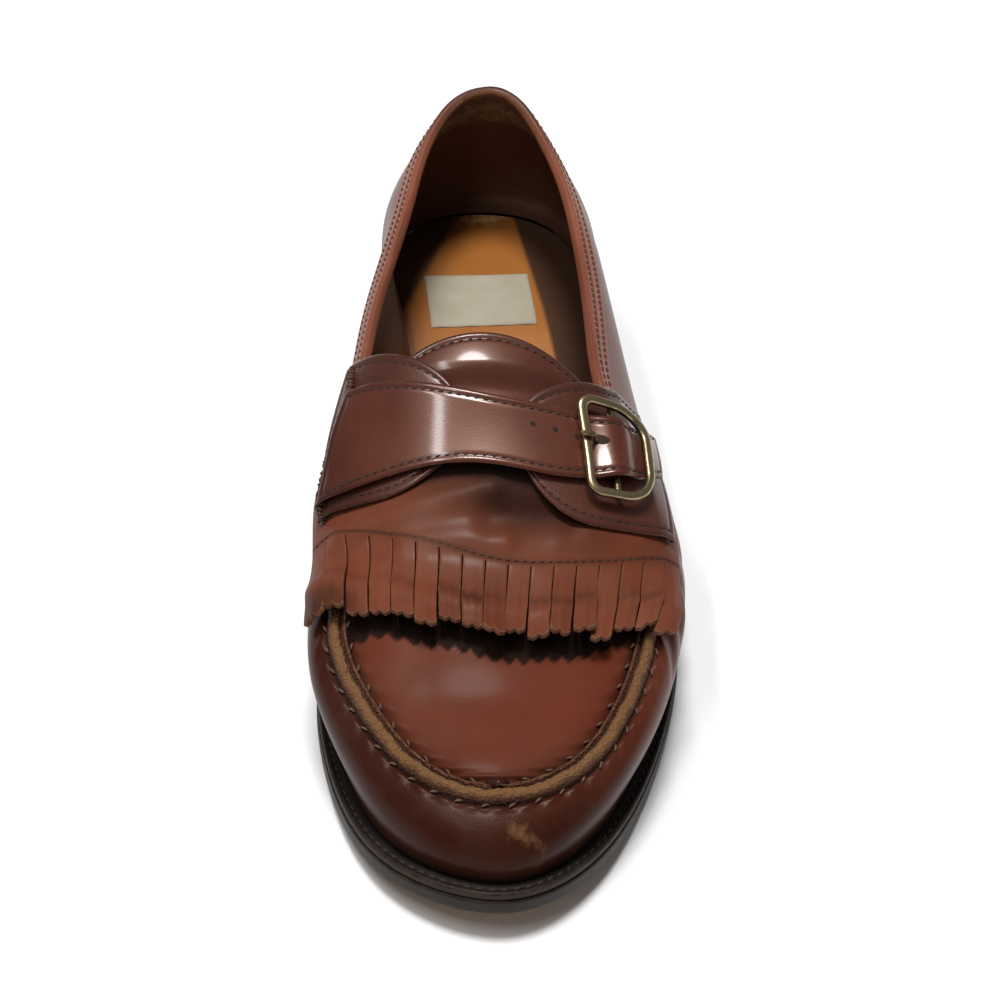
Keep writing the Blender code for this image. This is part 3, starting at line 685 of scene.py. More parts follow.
class Tree:
    """A node tree, built from left to right with values or sockets as inputs."""

    def __init__(self, tree: bpy.types.NodeTree) -> None:
        """Holds the tree."""
        self.tree = tree

    def put(self, socket: bpy.types.NodeSocket, value: object) -> None:
        """Links a socket to another, or sets its own value.

        Args:
            socket: The input.
            value: A socket or a value.
        """
        if isinstance(value, bpy.types.NodeSocket):
            self.tree.links.new(value, socket)
        elif socket.type == "RGBA" and len(value) == 3:
            socket.default_value = (*value, 1)
        else:
            socket.default_value = value

    def add(self, kind: str, inputs: dict | None = None, **settings: object) -> bpy.types.Node:
        """A node with its settings and inputs.

        Args:
            kind: Its type.
            inputs: Values or sockets by input.
            settings: Its own options.

        Returns:
            The node.
        """
        node = self.tree.nodes.new(kind)
        for key, value in settings.items():
            setattr(node, key, value)
        for key, value in (inputs or {}).items():
            self.put(node.inputs[key], value)
        return node

    def mix(self, factor: object, first: object, second: object, kind: str = "MIX") -> Socket:
        """Two colours mixed.

        Args:
            factor: Share of the second.
            first: A colour.
            second: Another.
            kind: How.

        Returns:
            The mixed colour's socket.
        """
        node = self.add("ShaderNodeMix", data_type="RGBA", blend_type=kind)
        for index, value in ((0, factor), (6, first), (7, second)):
            self.put(node.inputs[index], value)
        return node.outputs[2]

    def math(self, kind: str, first: object, second: object = 0.0, clamp: bool = False) -> Socket:
        """One sum of two values."""
        node = self.add("ShaderNodeMath", {0: first, 1: second}, operation=kind, use_clamp=clamp)
        return node.outputs[0]

    def span(self, value: object, low: float, high: float, start: float, end: float) -> Socket:
        """A value carried from one range to another, held at the ends."""
        inputs = {"Value": value, "From Min": low, "From Max": high, "To Min": start, "To Max": end}
        return self.add("ShaderNodeMapRange", inputs).outputs[0]

    def noise(self, vector: object, scale: object, detail: float = 4.0, rough: float = 0.55) -> Socket:
        """Soft noise between 0 and 1."""
        inputs = {"Vector": vector, "Scale": scale, "Detail": detail, "Roughness": rough}
        return self.add("ShaderNodeTexNoise", inputs).outputs[0]

    def bump(self, shader: bpy.types.Node, strength: float, distance: float, height: Socket) -> None:
        """Feeds a height into a shader's Normal through a Bump node."""
        inputs = {"Strength": strength, "Distance": distance, "Height": height}
        self.put(shader.inputs["Normal"], self.add("ShaderNodeBump", inputs).outputs[0])

    def mark(self, name: str) -> Socket:
        """A value kept at the mesh's points."""
        return self.add("ShaderNodeAttribute", attribute_name=name).outputs["Fac"]

    def place(self) -> Socket:
        """Object coordinates in metres."""
        return self.add("ShaderNodeTexCoord").outputs["Object"]


def shader_group(name: str, inputs: dict[str, tuple[str, object]], outputs: dict[str, str]) -> tuple:
    """An empty node group with named sockets.

    Args:
        name: The group's name.
        inputs: Socket types and first values by name.
        outputs: Socket types by name.

    Returns:
        The group, its tree writer, its input node and its output node.
    """
    group = bpy.data.node_groups.new(name, "ShaderNodeTree")
    for key, (kind, value) in inputs.items():
        socket = group.interface.new_socket(key, in_out="INPUT", socket_type=kind)
        if value is not None:
            socket.default_value = value
    for key, kind in outputs.items():
        group.interface.new_socket(key, in_out="OUTPUT", socket_type=kind)
    tree = Tree(group)
    return group, tree, tree.add("NodeGroupInput"), tree.add("NodeGroupOutput")


FLOAT, COLOUR, VECTOR = "NodeSocketFloat", "NodeSocketColor", "NodeSocketVector"
WHITE = (1.0, 1.0, 1.0, 1.0)


def grain_group() -> bpy.types.ShaderNodeTree:
    """Leather grain: pebbles between fine creases, broad waves, and a mottling mask.

    Returns:
        The group.
    """
    group, tree, source, sink = shader_group(
        "leather_grain",
        {
            "Vector": (VECTOR, None),
            "Fineness": (FLOAT, 900.0),
            "Pores": (FLOAT, 0.5),
            "Waves": (FLOAT, 0.4),
        },
        {"Height": FLOAT, "Mottle": FLOAT},
    )
    place = source.outputs["Vector"]
    coarse = {"Vector": place, "Scale": 260.0, "Detail": 2.0}
    wobble = tree.add("ShaderNodeTexNoise", coarse).outputs["Color"]
    bent = tree.add("ShaderNodeVectorMath", {0: wobble, 1: (0.0008, 0.0008, 0.0008)}, operation="MULTIPLY")
    moved = tree.add("ShaderNodeVectorMath", {0: place, 1: bent.outputs[0]}, operation="ADD").outputs[0]
    cells = tree.add(
        "ShaderNodeTexVoronoi", {"Vector": moved, "Scale": source.outputs["Fineness"]},
        feature="DISTANCE_TO_EDGE",
    ).outputs[0]
    pebbles = tree.span(cells, 0.0, 0.25, 0.0, 1.0)
    fine = tree.math("MULTIPLY", pebbles, source.outputs["Pores"])
    waves = tree.math("MULTIPLY", tree.noise(place, 90.0, 3.0), source.outputs["Waves"])
    tree.put(sink.inputs["Height"], tree.math("ADD", fine, waves))
    broad = tree.noise(place, 28.0, 5.0, 0.6)
    tree.put(sink.inputs["Mottle"], tree.span(broad, 0.3, 0.7, 0.0, 1.0))
    return group


def wear_group() -> bpy.types.ShaderNodeTree:
    """Wear: a mask broken up by noise lets the worn colour through, and dulls the gloss.

    Returns:
        The group.
    """
    group, tree, source, sink = shader_group(
        "patchy_wear",
        {
            "Vector": (VECTOR, None),
            "Colour": (COLOUR, WHITE),
            "Worn": (COLOUR, WHITE),
            "Mask": (FLOAT, 0.0),
            "Patches": (FLOAT, 350.0),
        },
        {"Colour": COLOUR, "Amount": FLOAT},
    )
    breakup = tree.noise(source.outputs["Vector"], source.outputs["Patches"], 5.0, 0.65)
    raised = tree.math("MULTIPLY", source.outputs["Mask"], 1.6)
    amount = tree.math("SUBTRACT", raised, tree.span(breakup, 0.25, 0.75, 0.0, 0.75))
    amount = tree.span(amount, 0.0, 0.5, 0.0, 1.0)
    tree.put(sink.inputs["Colour"], tree.mix(amount, source.outputs["Colour"], source.outputs["Worn"]))
    tree.put(sink.inputs["Amount"], amount)
    return group


def dust_group() -> bpy.types.ShaderNodeTree:
    """Dust and soiling: pale specks and grey haze, in patches of noise.

    Returns:
        The group.
    """
    group, tree, source, sink = shader_group(
        "dust",
        {
            "Vector": (VECTOR, None),
            "Colour": (COLOUR, WHITE),
            "Dust": (COLOUR, WHITE),
            "Amount": (FLOAT, 0.1),
        },
        {"Colour": COLOUR, "Haze": FLOAT},
    )
    place = source.outputs["Vector"]
    patches = tree.span(tree.noise(place, 40.0, 6.0, 0.7), 0.45, 0.75, 0.0, 1.0)
    specks = tree.span(tree.noise(place, 1400.0, 2.0), 0.66, 0.76, 0.0, 1.0)
    both = tree.math("ADD", patches, specks, clamp=True)
    haze = tree.math("MULTIPLY", both, source.outputs["Amount"])
    tree.put(sink.inputs["Colour"], tree.mix(haze, source.outputs["Colour"], source.outputs["Dust"]))
    tree.put(sink.inputs["Haze"], haze)
    return group


class Effects:
    """The shader groups that several finishes share, built once."""

    def __init__(self) -> None:
        """Builds the three groups."""
        self.grain = grain_group()
        self.wear = wear_group()
        self.dust = dust_group()

    @staticmethod
    def use(tree: Tree, group: bpy.types.ShaderNodeTree, **inputs: object) -> bpy.types.Node:
        """Places a group in a material with its own values.

        Args:
            tree: The material's tree.
            group: The group.
            inputs: Values or sockets by name.

        Returns:
            The group's node.
        """
        node = tree.tree.nodes.new("ShaderNodeGroup")
        node.node_tree = group
        for key, value in inputs.items():
            tree.put(node.inputs[key], value)
        return node


def fresh_material(name: str) -> tuple[Material, Tree, bpy.types.Node, Socket]:
    """A new material, its tree, its Principled shader and its coordinates in metres.

    Args:
        name: The material's name.

    Returns:
        The four of them.
    """
    material = bpy.data.materials.new(name)
    material.use_nodes = True
    tree = Tree(material.node_tree)
    return material, tree, material.node_tree.nodes["Principled BSDF"], tree.place()


@dataclass(frozen=True)
class LeatherFinish:
    """Finished leather: two tones of dye, burnishing, worn-through tan, dark joints, painted shade, grain
    and polish.
    """

    name: str
    colour: Colour
    deep: Colour
    # A darker tone, for burnishing and painted shade.
    burnished: Colour
    worn: Colour = (0.20, 0.10, 0.045)
    # Near black, for dark joints and painted shade in grooves, holes and under other pieces.
    grime: Colour = (0.008, 0.005, 0.004)
    roughness: float = 0.34
    polish: float = 0.5
    polish_roughness: float = 0.16
    fineness: float = 1100.0
    pores: float = 0.35
    waves: float = 0.5
    relief: float = 0.00006
    dust: float = 0.03
    patches: float = 350.0
    shine: float = 0.4
    tint: Colour = (1.0, 0.66, 0.52)

    def material(self, effects: Effects) -> Material:
        """The material, whose masks are three marks: darkening for burnishing and painted shade, wear, and
        near black for dark joints and painted shade.

        Args:
            effects: The shared shader groups.

        Returns:
            The material.
        """
        material, tree, shader, place = fresh_material(self.name)
        grain = effects.use(
            tree, effects.grain, Vector=place, Fineness=self.fineness, Pores=self.pores, Waves=self.waves
        )
        dyed = tree.mix(grain.outputs["Mottle"], self.deep, self.colour)
        shaded = tree.mix(tree.mark("burnish"), dyed, self.burnished)
        wear = effects.use(
            tree, effects.wear,
            Vector=place, Colour=shaded, Worn=self.worn, Mask=tree.mark("worn"), Patches=self.patches,
        )
        grimed_and_shaded = tree.mix(tree.mark("grime"), wear.outputs["Colour"], self.grime)
        dust = effects.use(
            tree, effects.dust, Vector=place, Colour=grimed_and_shaded, Dust=(0.32, 0.27, 0.22), Amount=self.dust
        )
        tree.put(shader.inputs["Base Color"], dust.outputs["Colour"])
        dulled = tree.math("MULTIPLY", wear.outputs["Amount"], 0.35)
        uneven = tree.math("MULTIPLY", grain.outputs["Mottle"], 0.08)
        rough = tree.math("ADD", tree.math("ADD", dulled, uneven), self.roughness)
        rough = tree.math("ADD", rough, tree.math("MULTIPLY", tree.mark("grime"), 0.35))
        rough = tree.math("ADD", rough, dust.outputs["Haze"], clamp=True)
        tree.put(shader.inputs["Roughness"], rough)
        kept = tree.math("SUBTRACT", 1.0, wear.outputs["Amount"])
        kept = tree.math("SUBTRACT", kept, tree.mark("grime"), clamp=True)
        dulled = tree.span(tree.mark("burnish"), 0.2, 0.9, self.polish, self.polish * 0.15)
        tree.put(shader.inputs["Coat Weight"], tree.math("MULTIPLY", kept, dulled))
        shader.inputs["Coat Roughness"].default_value = self.polish_roughness
        shader.inputs["Specular IOR Level"].default_value = self.shine
        shader.inputs["Specular Tint"].default_value = (*self.tint, 1)
        tree.bump(shader, 1.0, self.relief, grain.outputs["Height"])
        return material


@dataclass(frozen=True)
class BrassFinish:
    """Antique brass: dark in its hollows, rubbed bright on its edges, finely scratched."""

    name: str = "antique_brass"
    bright: Colour = (0.44, 0.34, 0.20)
    dark: Colour = (0.13, 0.09, 0.05)

    def material(self, effects: Effects) -> Material:
        """The material, whose mark rubbed is 1 where the metal is bright.

        Args:
            effects: The shared shader groups.

        Returns:
            The material.
        """
        material, tree, shader, place = fresh_material(self.name)
        wear = effects.use(
            tree, effects.wear,
            Vector=place, Colour=self.dark, Worn=self.bright, Mask=tree.mark("rubbed"), Patches=600.0,
        )
        tree.put(shader.inputs["Base Color"], wear.outputs["Colour"])
        tree.put(shader.inputs["Roughness"], tree.span(wear.outputs["Amount"], 0, 1, 0.48, 0.30))
        shader.inputs["Metallic"].default_value = 1.0
        tree.bump(shader, 0.5, 0.00003, tree.noise(place, 2600.0, 3.0))
        return material


@dataclass(frozen=True)
class ThreadFinish:
    """Waxed thread: matt, with the twist of its plies."""

    name: str
    colour: Colour
    dark: Colour

    def material(self, effects: Effects) -> Material:
        """The material.

        Args:
            effects: The shared shader groups.

        Returns:
            The material.
        """
        material, tree, shader, place = fresh_material(self.name)
        plies = tree.noise(place, 2200.0, 2.0)
        tone = tree.mix(tree.span(plies, 0.35, 0.65, 0, 1), self.dark, self.colour)
        dust = effects.use(
            tree, effects.dust, Vector=place, Colour=tone, Dust=(0.3, 0.24, 0.18), Amount=0.04
        )
        tree.put(shader.inputs["Base Color"], dust.outputs["Colour"])
        tree.put(shader.inputs["Roughness"], tree.span(plies, 0, 1, 0.5, 0.8))
        tree.bump(shader, 0.6, 0.0001, plies)
        return material


@dataclass(frozen=True)
class WovenFinish:
    """The blank cream label: a close plain weave, yellowed a little in patches."""

    name: str = "cream_label"
    colour: Colour = (0.40, 0.355, 0.27)
    aged: Colour = (0.30, 0.25, 0.17)

    def material(self, effects: Effects) -> Material:
        """The material, with a crossed wave for the weave.

        Args:
            effects: The shared shader groups.

        Returns:
            The material.
        """
        material, tree, shader, place = fresh_material(self.name)
        yarns = {"Vector": place, "Scale": 420.0}
        warp, weft = (tree.add("ShaderNodeTexWave", yarns, bands_direction=way).outputs[1] for way in "XY")
        weave = tree.math("MULTIPLY", warp, weft)
        aging = tree.span(tree.noise(place, 70.0, 4.0), 0.35, 0.75, 0.0, 0.8)
        tone = tree.mix(aging, self.colour, self.aged)
        tone = tree.mix(tree.mark("worn"), tone, (0.30, 0.22, 0.14))
        dust = effects.use(
            tree, effects.dust, Vector=place, Colour=tone, Dust=(0.4, 0.33, 0.25), Amount=0.2
        )
        tree.put(shader.inputs["Base Color"], dust.outputs["Colour"])
        tree.put(shader.inputs["Roughness"], tree.span(weave, 0, 1, 0.85, 0.7))
        tree.bump(shader, 0.6, 0.00006, weave)
        return material


class Finish(Enum):
    """The finishes of the shoe, by what they cover."""

    CALF = LeatherFinish(
        "calf_vamp", (0.120, 0.028, 0.014), (0.085, 0.018, 0.009), (0.026, 0.006, 0.003),
        worn=(0.130, 0.058, 0.024), roughness=0.32, polish=0.13, polish_roughness=0.20, shine=0.10,
    )
    APRON = LeatherFinish(
        "calf_apron", (0.140, 0.032, 0.016), (0.100, 0.021, 0.010), (0.040, 0.010, 0.005),
        roughness=0.43, polish=0.03, polish_roughness=0.18, shine=0.08,
    )
    COLLAR = LeatherFinish(
        "calf_collar", (0.300, 0.090, 0.048), (0.225, 0.062, 0.032), (0.045, 0.013, 0.008),
        worn=(0.20, 0.085, 0.035), roughness=0.42, polish=0.14, polish_roughness=0.28,
    )
    STRAP = LeatherFinish(
        "calf_strap", (0.118, 0.028, 0.015), (0.080, 0.018, 0.010), (0.032, 0.009, 0.005),
        roughness=0.30, polish=0.65, polish_roughness=0.12, relief=0.00002,
    )
    EAR = LeatherFinish(
        "calf_ear", (0.088, 0.024, 0.014), (0.058, 0.016, 0.010), (0.028, 0.009, 0.006),
        roughness=0.34, polish=0.35, polish_roughness=0.18,
    )
    FRINGE = LeatherFinish(
        "calf_kiltie", (0.180, 0.049, 0.023), (0.120, 0.030, 0.014), (0.026, 0.007, 0.004),
        worn=(0.155, 0.072, 0.040), roughness=0.48, polish=0.08, polish_roughness=0.24, dust=0.05,
        shine=0.16,
    )
    SEAM = LeatherFinish(
        "worn_seam", (0.120, 0.040, 0.019), (0.085, 0.027, 0.014), (0.045, 0.017, 0.010),
        worn=(0.175, 0.085, 0.034), roughness=0.50, polish=0.10, pores=0.9, relief=0.00030,
        fineness=700.0, waves=1.2, patches=420.0,
    )
    LINING = LeatherFinish(
        "lining", (0.150, 0.058, 0.028), (0.095, 0.036, 0.020), (0.050, 0.020, 0.013),
        worn=(0.30, 0.17, 0.075), roughness=0.55, polish=0.05, dust=0.10,
    )
    # The pale worn tan serves heel wear and a painted highlight at the heel; the dark brown is painted
    # shade beside the walls.
    INSOLE = LeatherFinish(
        "tan_insole", (0.37, 0.135, 0.028), (0.31, 0.105, 0.020), (0.13, 0.048, 0.014),
        worn=(0.70, 0.43, 0.20), grime=(0.030, 0.013, 0.008), roughness=0.38, polish=0.30,
        polish_roughness=0.22, relief=0.00003, dust=0.06,
    )
    SOLE = LeatherFinish(
        "sole_edge", (0.014, 0.0095, 0.008), (0.009, 0.0065, 0.0055), (0.006, 0.005, 0.0045),
        worn=(0.060, 0.036, 0.024), roughness=0.48, polish=0.07, polish_roughness=0.3,
        relief=0.00010, dust=0.03, shine=0.22, tint=(1.0, 0.85, 0.75),
    )
    TREAD = LeatherFinish(
        "sole_tread", (0.30, 0.175, 0.09), (0.22, 0.12, 0.06), (0.05, 0.03, 0.02),
        worn=(0.12, 0.085, 0.06), roughness=0.6, polish=0.05, relief=0.00015, dust=0.35, patches=120.0,
    )
    RUBBER = LeatherFinish(
        "rubber_lift", (0.018, 0.016, 0.015), (0.012, 0.011, 0.011), (0.01, 0.01, 0.01),
        worn=(0.04, 0.036, 0.033), roughness=0.7, polish=0.0, relief=0.00010, dust=0.08, shine=0.2,
    )
    BRASS = BrassFinish()
    THREAD = ThreadFinish("brown_thread", (0.085, 0.032, 0.018), (0.035, 0.013, 0.008))
    SEAM_THREAD = ThreadFinish("seam_thread", (0.135, 0.070, 0.036), (0.045, 0.022, 0.012))
    DARK_THREAD = ThreadFinish("dark_thread", (0.034, 0.011, 0.007), (0.012, 0.005, 0.004))
    LABEL = WovenFinish()


class Wardrobe:
    """Makes each finish's material once and dresses pieces with it."""

    def __init__(self) -> None:
        """Builds the shared effects."""
        self.effects = Effects()
        self.made: dict[Finish, Material] = {}

    def dress(self, thing: Piece, finish: Finish, slot: str | None = None,
              nodes: tuple[str, ...] = ()) -> Piece:
        """Gives a piece its material and body, and hides the solids that it stands for.

        Args:
            thing: The piece.
            finish: Its finish.
            slot: The record's material slot, if it has one; not used.
            nodes: The solids that it replaces.

        Returns:
            The piece.
        """
        if finish not in self.made:
            self.made[finish] = finish.value.material(self.effects)
        thing.data.materials.clear()
        thing.data.materials.append(self.made[finish])
        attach(thing, "root")
        if nodes:
            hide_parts(*nodes)
        LOG.info("%s: %d points, %s", thing.name, len(thing.data.vertices), finish.value.name)
        return thing

    def sew(self, name: str, finish: Finish, stitching: "Stitching", *lines: tuple[Array, Array]) -> None:
        """Makes one piece of the stitches along some lines, each given with its normals.

        Args:
            name: The piece's name.
            finish: The thread's.
            stitching: Sizes of a stitch.
            lines: Points and normals of each line.
        """
        threads = Mesh(name)
        for line, normals in lines:
            stitching.run(threads, line, normals)
        self.dress(threads.make(True), finish)


@dataclass(frozen=True)
class Stitching:
    """One run of stitches along a path: sizes in metres, slant in degrees from the path."""

    pitch: float = 3.0 * MM
    length: float = 2.1 * MM
    thickness: float = 0.7 * MM
    rise: float = 0.15 * MM
    slant: float = 0.0
    sides: int = 6

    def run(self, mesh: Mesh, path: Array, normals: Array) -> None:
        """Adds stitches: each an arched capsule, whose radius and rise are cosines along it.

        Args:
            mesh: The mesh they go into.
            path: Points of the line.
            normals: Unit normals at the points.
        """
        way = way_along(path)
        count = max(2, int(way[-1] / self.pitch))
        goal = (np.arange(count) + 0.5) / count * way[-1]
        centre = at_lengths(goal, way, path)
        normal = unit(at_lengths(goal, way, normals))
        near = 0.25 * self.pitch
        tangent = unit(at_lengths(goal + near, way, path) - at_lengths(goal - near, way, path))
        tangent = unit(tangent - normal * (tangent * normal).sum(1, keepdims=True))
        side = np.cross(normal, tangent)
        turn = np.radians(self.slant)
        tangent, side = (
            tangent * np.cos(turn) + side * np.sin(turn), side * np.cos(turn) - tangent * np.sin(turn),
        )
        along = np.array([-1.0, -0.8, -0.3, 0.3, 0.8, 1.0])
        radius = self.thickness / 2 * np.array([0.0, 0.75, 1.0, 1.0, 0.75, 0.0])
        arch = self.rise * (1 - along**2) - 0.35 * self.thickness * along**4
        angle = np.arange(self.sides) / self.sides * TURN
        spine = (
            centre[:, None, :]
            + tangent[:, None, :] * (along * self.length / 2)[None, :, None]
            + normal[:, None, :] * arch[None, :, None]
        )
        ring = (
            side[:, None, None, :] * np.cos(angle)[None, None, :, None]
            + normal[:, None, None, :] * np.sin(angle)[None, None, :, None]
        )
        points = spine[:, :, None, :] + ring * radius[None, :, None, None]
        flat = points.reshape(-1, self.sides, 3)
        keep = np.ones((len(flat) - 1, self.sides), bool)
        keep[len(along) - 1 :: len(along)] = False
        mesh.grid(flat, wrap_columns=True, flip=True, keep=keep)


@dataclass
class Upper:
    """The upper: vamp wall, raised seam, apron, collar band and lining."""

    wardrobe: Wardrobe
    columns: int = 760
    rows: int = 60
    band: float = 8.6 * MM
    band_rise: float = 0.7 * MM
    groove: float = 0.9 * MM
    roll: float = 2.2 * MM
    inner_roll: float = 1.2 * MM
    roll_share: float = 0.70
    stitched: float = 0.155
    seam_pitch: float = 7.0 * MM
    pucker: float = 0.30 * MM
    # How far the fringe's painted shadow reaches ahead of its tips.
    fringe_shadow_reach: float = 6.0 * MM
    strip_pitch: float = 0.0741
    seam_gather: float = 0.16 * MM
    seam_dip: float = 0.22 * MM
    seam_lumps: tuple[Wave, ...] = (
        Wave(0.20 * MM, 171, 1.0),
        Wave(0.14 * MM, 399),
        Wave(0.10 * MM, 907, slant=5),
        Wave(0.08 * MM, 1471, slant=-9),
    )
    seam_sway: tuple[Wave, ...] = (
        Wave(0.22 * MM, 263),
        Wave(0.16 * MM, 611, 2),
        Wave(0.10 * MM, 1300),
    )
    scuffs: tuple[Scuff, ...] = (
        Scuff(0.50, -1 * MM, -252 * MM, 4.2 * MM, 3.0 * MM),
        Scuff(0.30, 5 * MM, -254 * MM, 3.0 * MM, 1.8 * MM),
        Scuff(0.26, -18 * MM, -259 * MM, 6.0 * MM, 2.0 * MM),
        Scuff(0.22, -33 * MM, -247 * MM, 4.0 * MM, 3.0 * MM),
    )
    wall_creases: tuple[Crease, ...] = (
        Crease((0.047, -0.172, 0.041), (0.056, -0.192, 0.020), 1.5 * MM, 2.6 * MM),
        Crease((0.047, -0.158, 0.046), (0.057, -0.172, 0.022), 1.3 * MM, 2.8 * MM),
        Crease((0.047, -0.145, 0.050), (0.056, -0.150, 0.026), 1.1 * MM, 3.2 * MM),
        Crease((0.044, -0.187, 0.038), (0.053, -0.210, 0.020), 0.9 * MM, 2.6 * MM),
        Crease((0.047, -0.165, 0.044), (0.057, -0.182, 0.021), -0.7 * MM, 3.0 * MM),
        Crease((0.046, -0.120, 0.055), (0.054, -0.120, 0.028), -0.5 * MM, 6 * MM),
        Crease((-0.046, -0.150, 0.036), (-0.045, -0.178, 0.018), 0.9 * MM, 3.2 * MM),
        Crease((-0.044, -0.135, 0.046), (-0.041, -0.150, 0.022), 0.8 * MM, 3.4 * MM),
        Crease((-0.036, -0.060, 0.060), (-0.033, -0.080, 0.030), 0.6 * MM, 6 * MM),
        Crease((0.034, -0.010, 0.070), (0.036, -0.030, 0.045), 0.5 * MM, 6 * MM),
        Crease((0.020, 0.028, 0.072), (-0.018, 0.029, 0.072), 0.5 * MM, 5 * MM),
    )
    apron_creases: tuple[Crease, ...] = (
        Crease((-0.034, -0.196, 0.042), (0.020, -0.199, 0.045), -0.9 * MM, 6 * MM),
        Crease((-0.026, -0.180, 0.050), (0.022, -0.182, 0.052), 0.8 * MM, 6 * MM),
        Crease((-0.022, -0.214, 0.040), (0.022, -0.214, 0.041), 0.7 * MM, 8 * MM),
        Crease((-0.014, -0.233, 0.036), (0.010, -0.234, 0.036), -0.45 * MM, 5 * MM),
    )

    def ripple(self, u: Array) -> Array:
        """The seam's gathers: a cosine of the way along it, lowest at each stitch.

        Args:
            u: Places round the shoe, 0 to 1.

        Returns:
            Values from -1 to 1, faded out at the seam's ends.
        """
        table = np.linspace(-self.stitched, self.stitched, 600)
        way = way_along(LAST.rim(table))
        count = int(way[-1] / self.seam_pitch)
        signed = (np.asarray(u) + 0.5) % 1.0 - 0.5
        fade = 1 - eased((np.abs(signed) - self.stitched + 0.03) / 0.03)
        return np.cos(TURN * count * np.interp(signed, table, way / way[-1])) * fade

    def shade(self, grid: Array) -> Array:
        """Burnish: dark round the toe's wall, fading over its crown, and along the welt; the medial side is
        darker still, a painted dark reflection.

        Args:
            grid: The wall's points.

        Returns:
            Marks from 0 to 1.
        """
        y, z = grid[..., 1], grid[..., 2]
        above = z - LAST.underside(grid[..., 0], y) - LAST.base
        # Painted dark reflection: on the medial side the toe's darkening reaches further back and higher
        # up.
        medial = eased(-grid[..., 0] / 0.02)
        toe = eased((-y - 0.185 + 0.06 * medial) / 0.07)
        toe = toe * (1 - (0.45 - 0.35 * medial) * eased((above - 0.012) / 0.02))
        front = eased((-y - 0.06) / 0.08)
        low = (0.45 + 0.4 * front) * (1 - eased(above / (0.018 + 0.010 * front)))
        return np.clip(np.maximum(0.9 * toe, low), 0, 1)

    def wall(self) -> None:
        """The vamp's outer face, all round: rows from the welt up to the rim."""
        u = np.arange(self.columns) / self.columns
        ups = np.concatenate([[-1.0], np.linspace(0, 1, self.rows)])
        grid = np.stack([LAST.feather(u) if up < 0 else LAST.wall(u, np.full(u.shape, up)) for up in ups])
        pair = 1 - np.abs(1 - 2 * u)
        gather = self.ripple(u) * self.pucker
        near = bell((ups[:, None] - 0.93) / 0.045)
        grid = sunk(grid, self.wall_creases, True)
        normals = grid_normals(grid, True)
        tuck = 0.9 * MM * bell((ups[:, None] - 1.0) / 0.03) * (1 - eased((pair - 0.24) / 0.08))
        grid = grid + normals * (near * gather - tuck)[..., None]
        above = grid[..., 2] - LAST.underside(grid[..., 0], grid[..., 1]) - LAST.base
        # The wall darkens along its join with the welt; the groove under the seam is painted near black as
        # shade.
        grime = 0.9 * bell(above / (1.6 * MM))
        seam_dark = 0.75 * bell((ups[:, None] - 1.0) / 0.035) * (1 - eased((pair - 0.28) / 0.08))
        x, y = grid[..., 0], grid[..., 1]
        scuff = sum(s.worn * bell((x - s.x) / s.wide) * bell((y - s.y) / s.long) for s in self.scuffs)
        mesh = Mesh("vamp_wall").grid(
            grid, wrap_columns=True, burnish=self.shade(grid), worn=scuff * (above > 4 * MM),
            grime=np.maximum(grime, seam_dark),
        )
        self.wardrobe.dress(mesh.make(), Finish.CALF, "upper_leather", ("upper",))

    def seam(self) -> None:
        """The raised seam: a roll between two grooves, carried along the apron's edge."""
        count, across = 520, 25
        u = np.linspace(-THROAT / 2, THROAT / 2, count)
        pair = np.abs(2 * u)
        share = np.linspace(0, 1, across)[:, None]
        fade = 1 - eased((pair - 0.22) / 0.09)
        wide = np.clip(1 - np.abs(2 * share / self.roll_share - 1) ** 2.6, 0, 1) ** 0.6
        rest = (share - self.roll_share) / (1 - self.roll_share)
        thin = np.clip(1 - np.abs(2 * rest - 1) ** 2.4, 0, 1) ** 0.7 * (rest > 0)
        ripple = self.ripple(u)
        outer = self.roll + uneven(self.seam_lumps, u, share) - self.seam_dip * (1 - ripple) / 2
        inner = self.inner_roll + self.seam_gather * ripple
        height = (outer * wide + inner * thin) * fade
        low = 1 - np.maximum(wide, thin)
        height = height - self.groove * low * (0.5 + 0.5 * fade)
        sway = uneven(self.seam_sway, u) * bell((share - 0.35) / 0.3)
        base = LAST.seam_line(u, share * (LAST.seam_width + 0.4 * MM) + sway)
        grid = base + UP * height[..., None]
        rubbed = (0.74 * wide**2 + 0.30 * thin**2) * (0.2 + 0.8 * fade)
        rubbed = rubbed * (0.86 + 0.10 * np.sin(u * 97 + 1) + 0.08 * np.sin(u * 351 + 6 * share))
        # The grooves beside the rolls are painted near black as shade.
        mesh = Mesh("raised_seam").grid(
            grid, burnish=0.35 * bell(u / 0.05) + 0.3 * thin, worn=rubbed, grime=0.95 * low**1.1,
        )
        self.wardrobe.dress(mesh.make(), Finish.SEAM, "upper_leather")
        threads = Mesh("seam_stitches")
        for inset, slant in ((-0.6 * MM, 24), (LAST.seam_width + 0.9 * MM, -24)):
            line_u = np.linspace(-self.stitched, self.stitched, 600)
            line = LAST.seam_line(line_u, np.full(600, inset))
            ahead = LAST.seam_line(line_u, np.full(600, inset + 0.5 * MM)) - line
            normals = unit(np.cross(np.gradient(line, axis=0), ahead))
            if inset < 0:
                line = self.beside_rim(line_u, np.full(600, -inset), np.zeros(600))
            stitch = Stitching(self.seam_pitch, 2.5 * MM, 0.75 * MM, 0.30 * MM, slant)
            stitch.run(threads, line + normals * 0.05 * MM, normals)
        self.wardrobe.dress(threads.make(True), Finish.SEAM_THREAD)

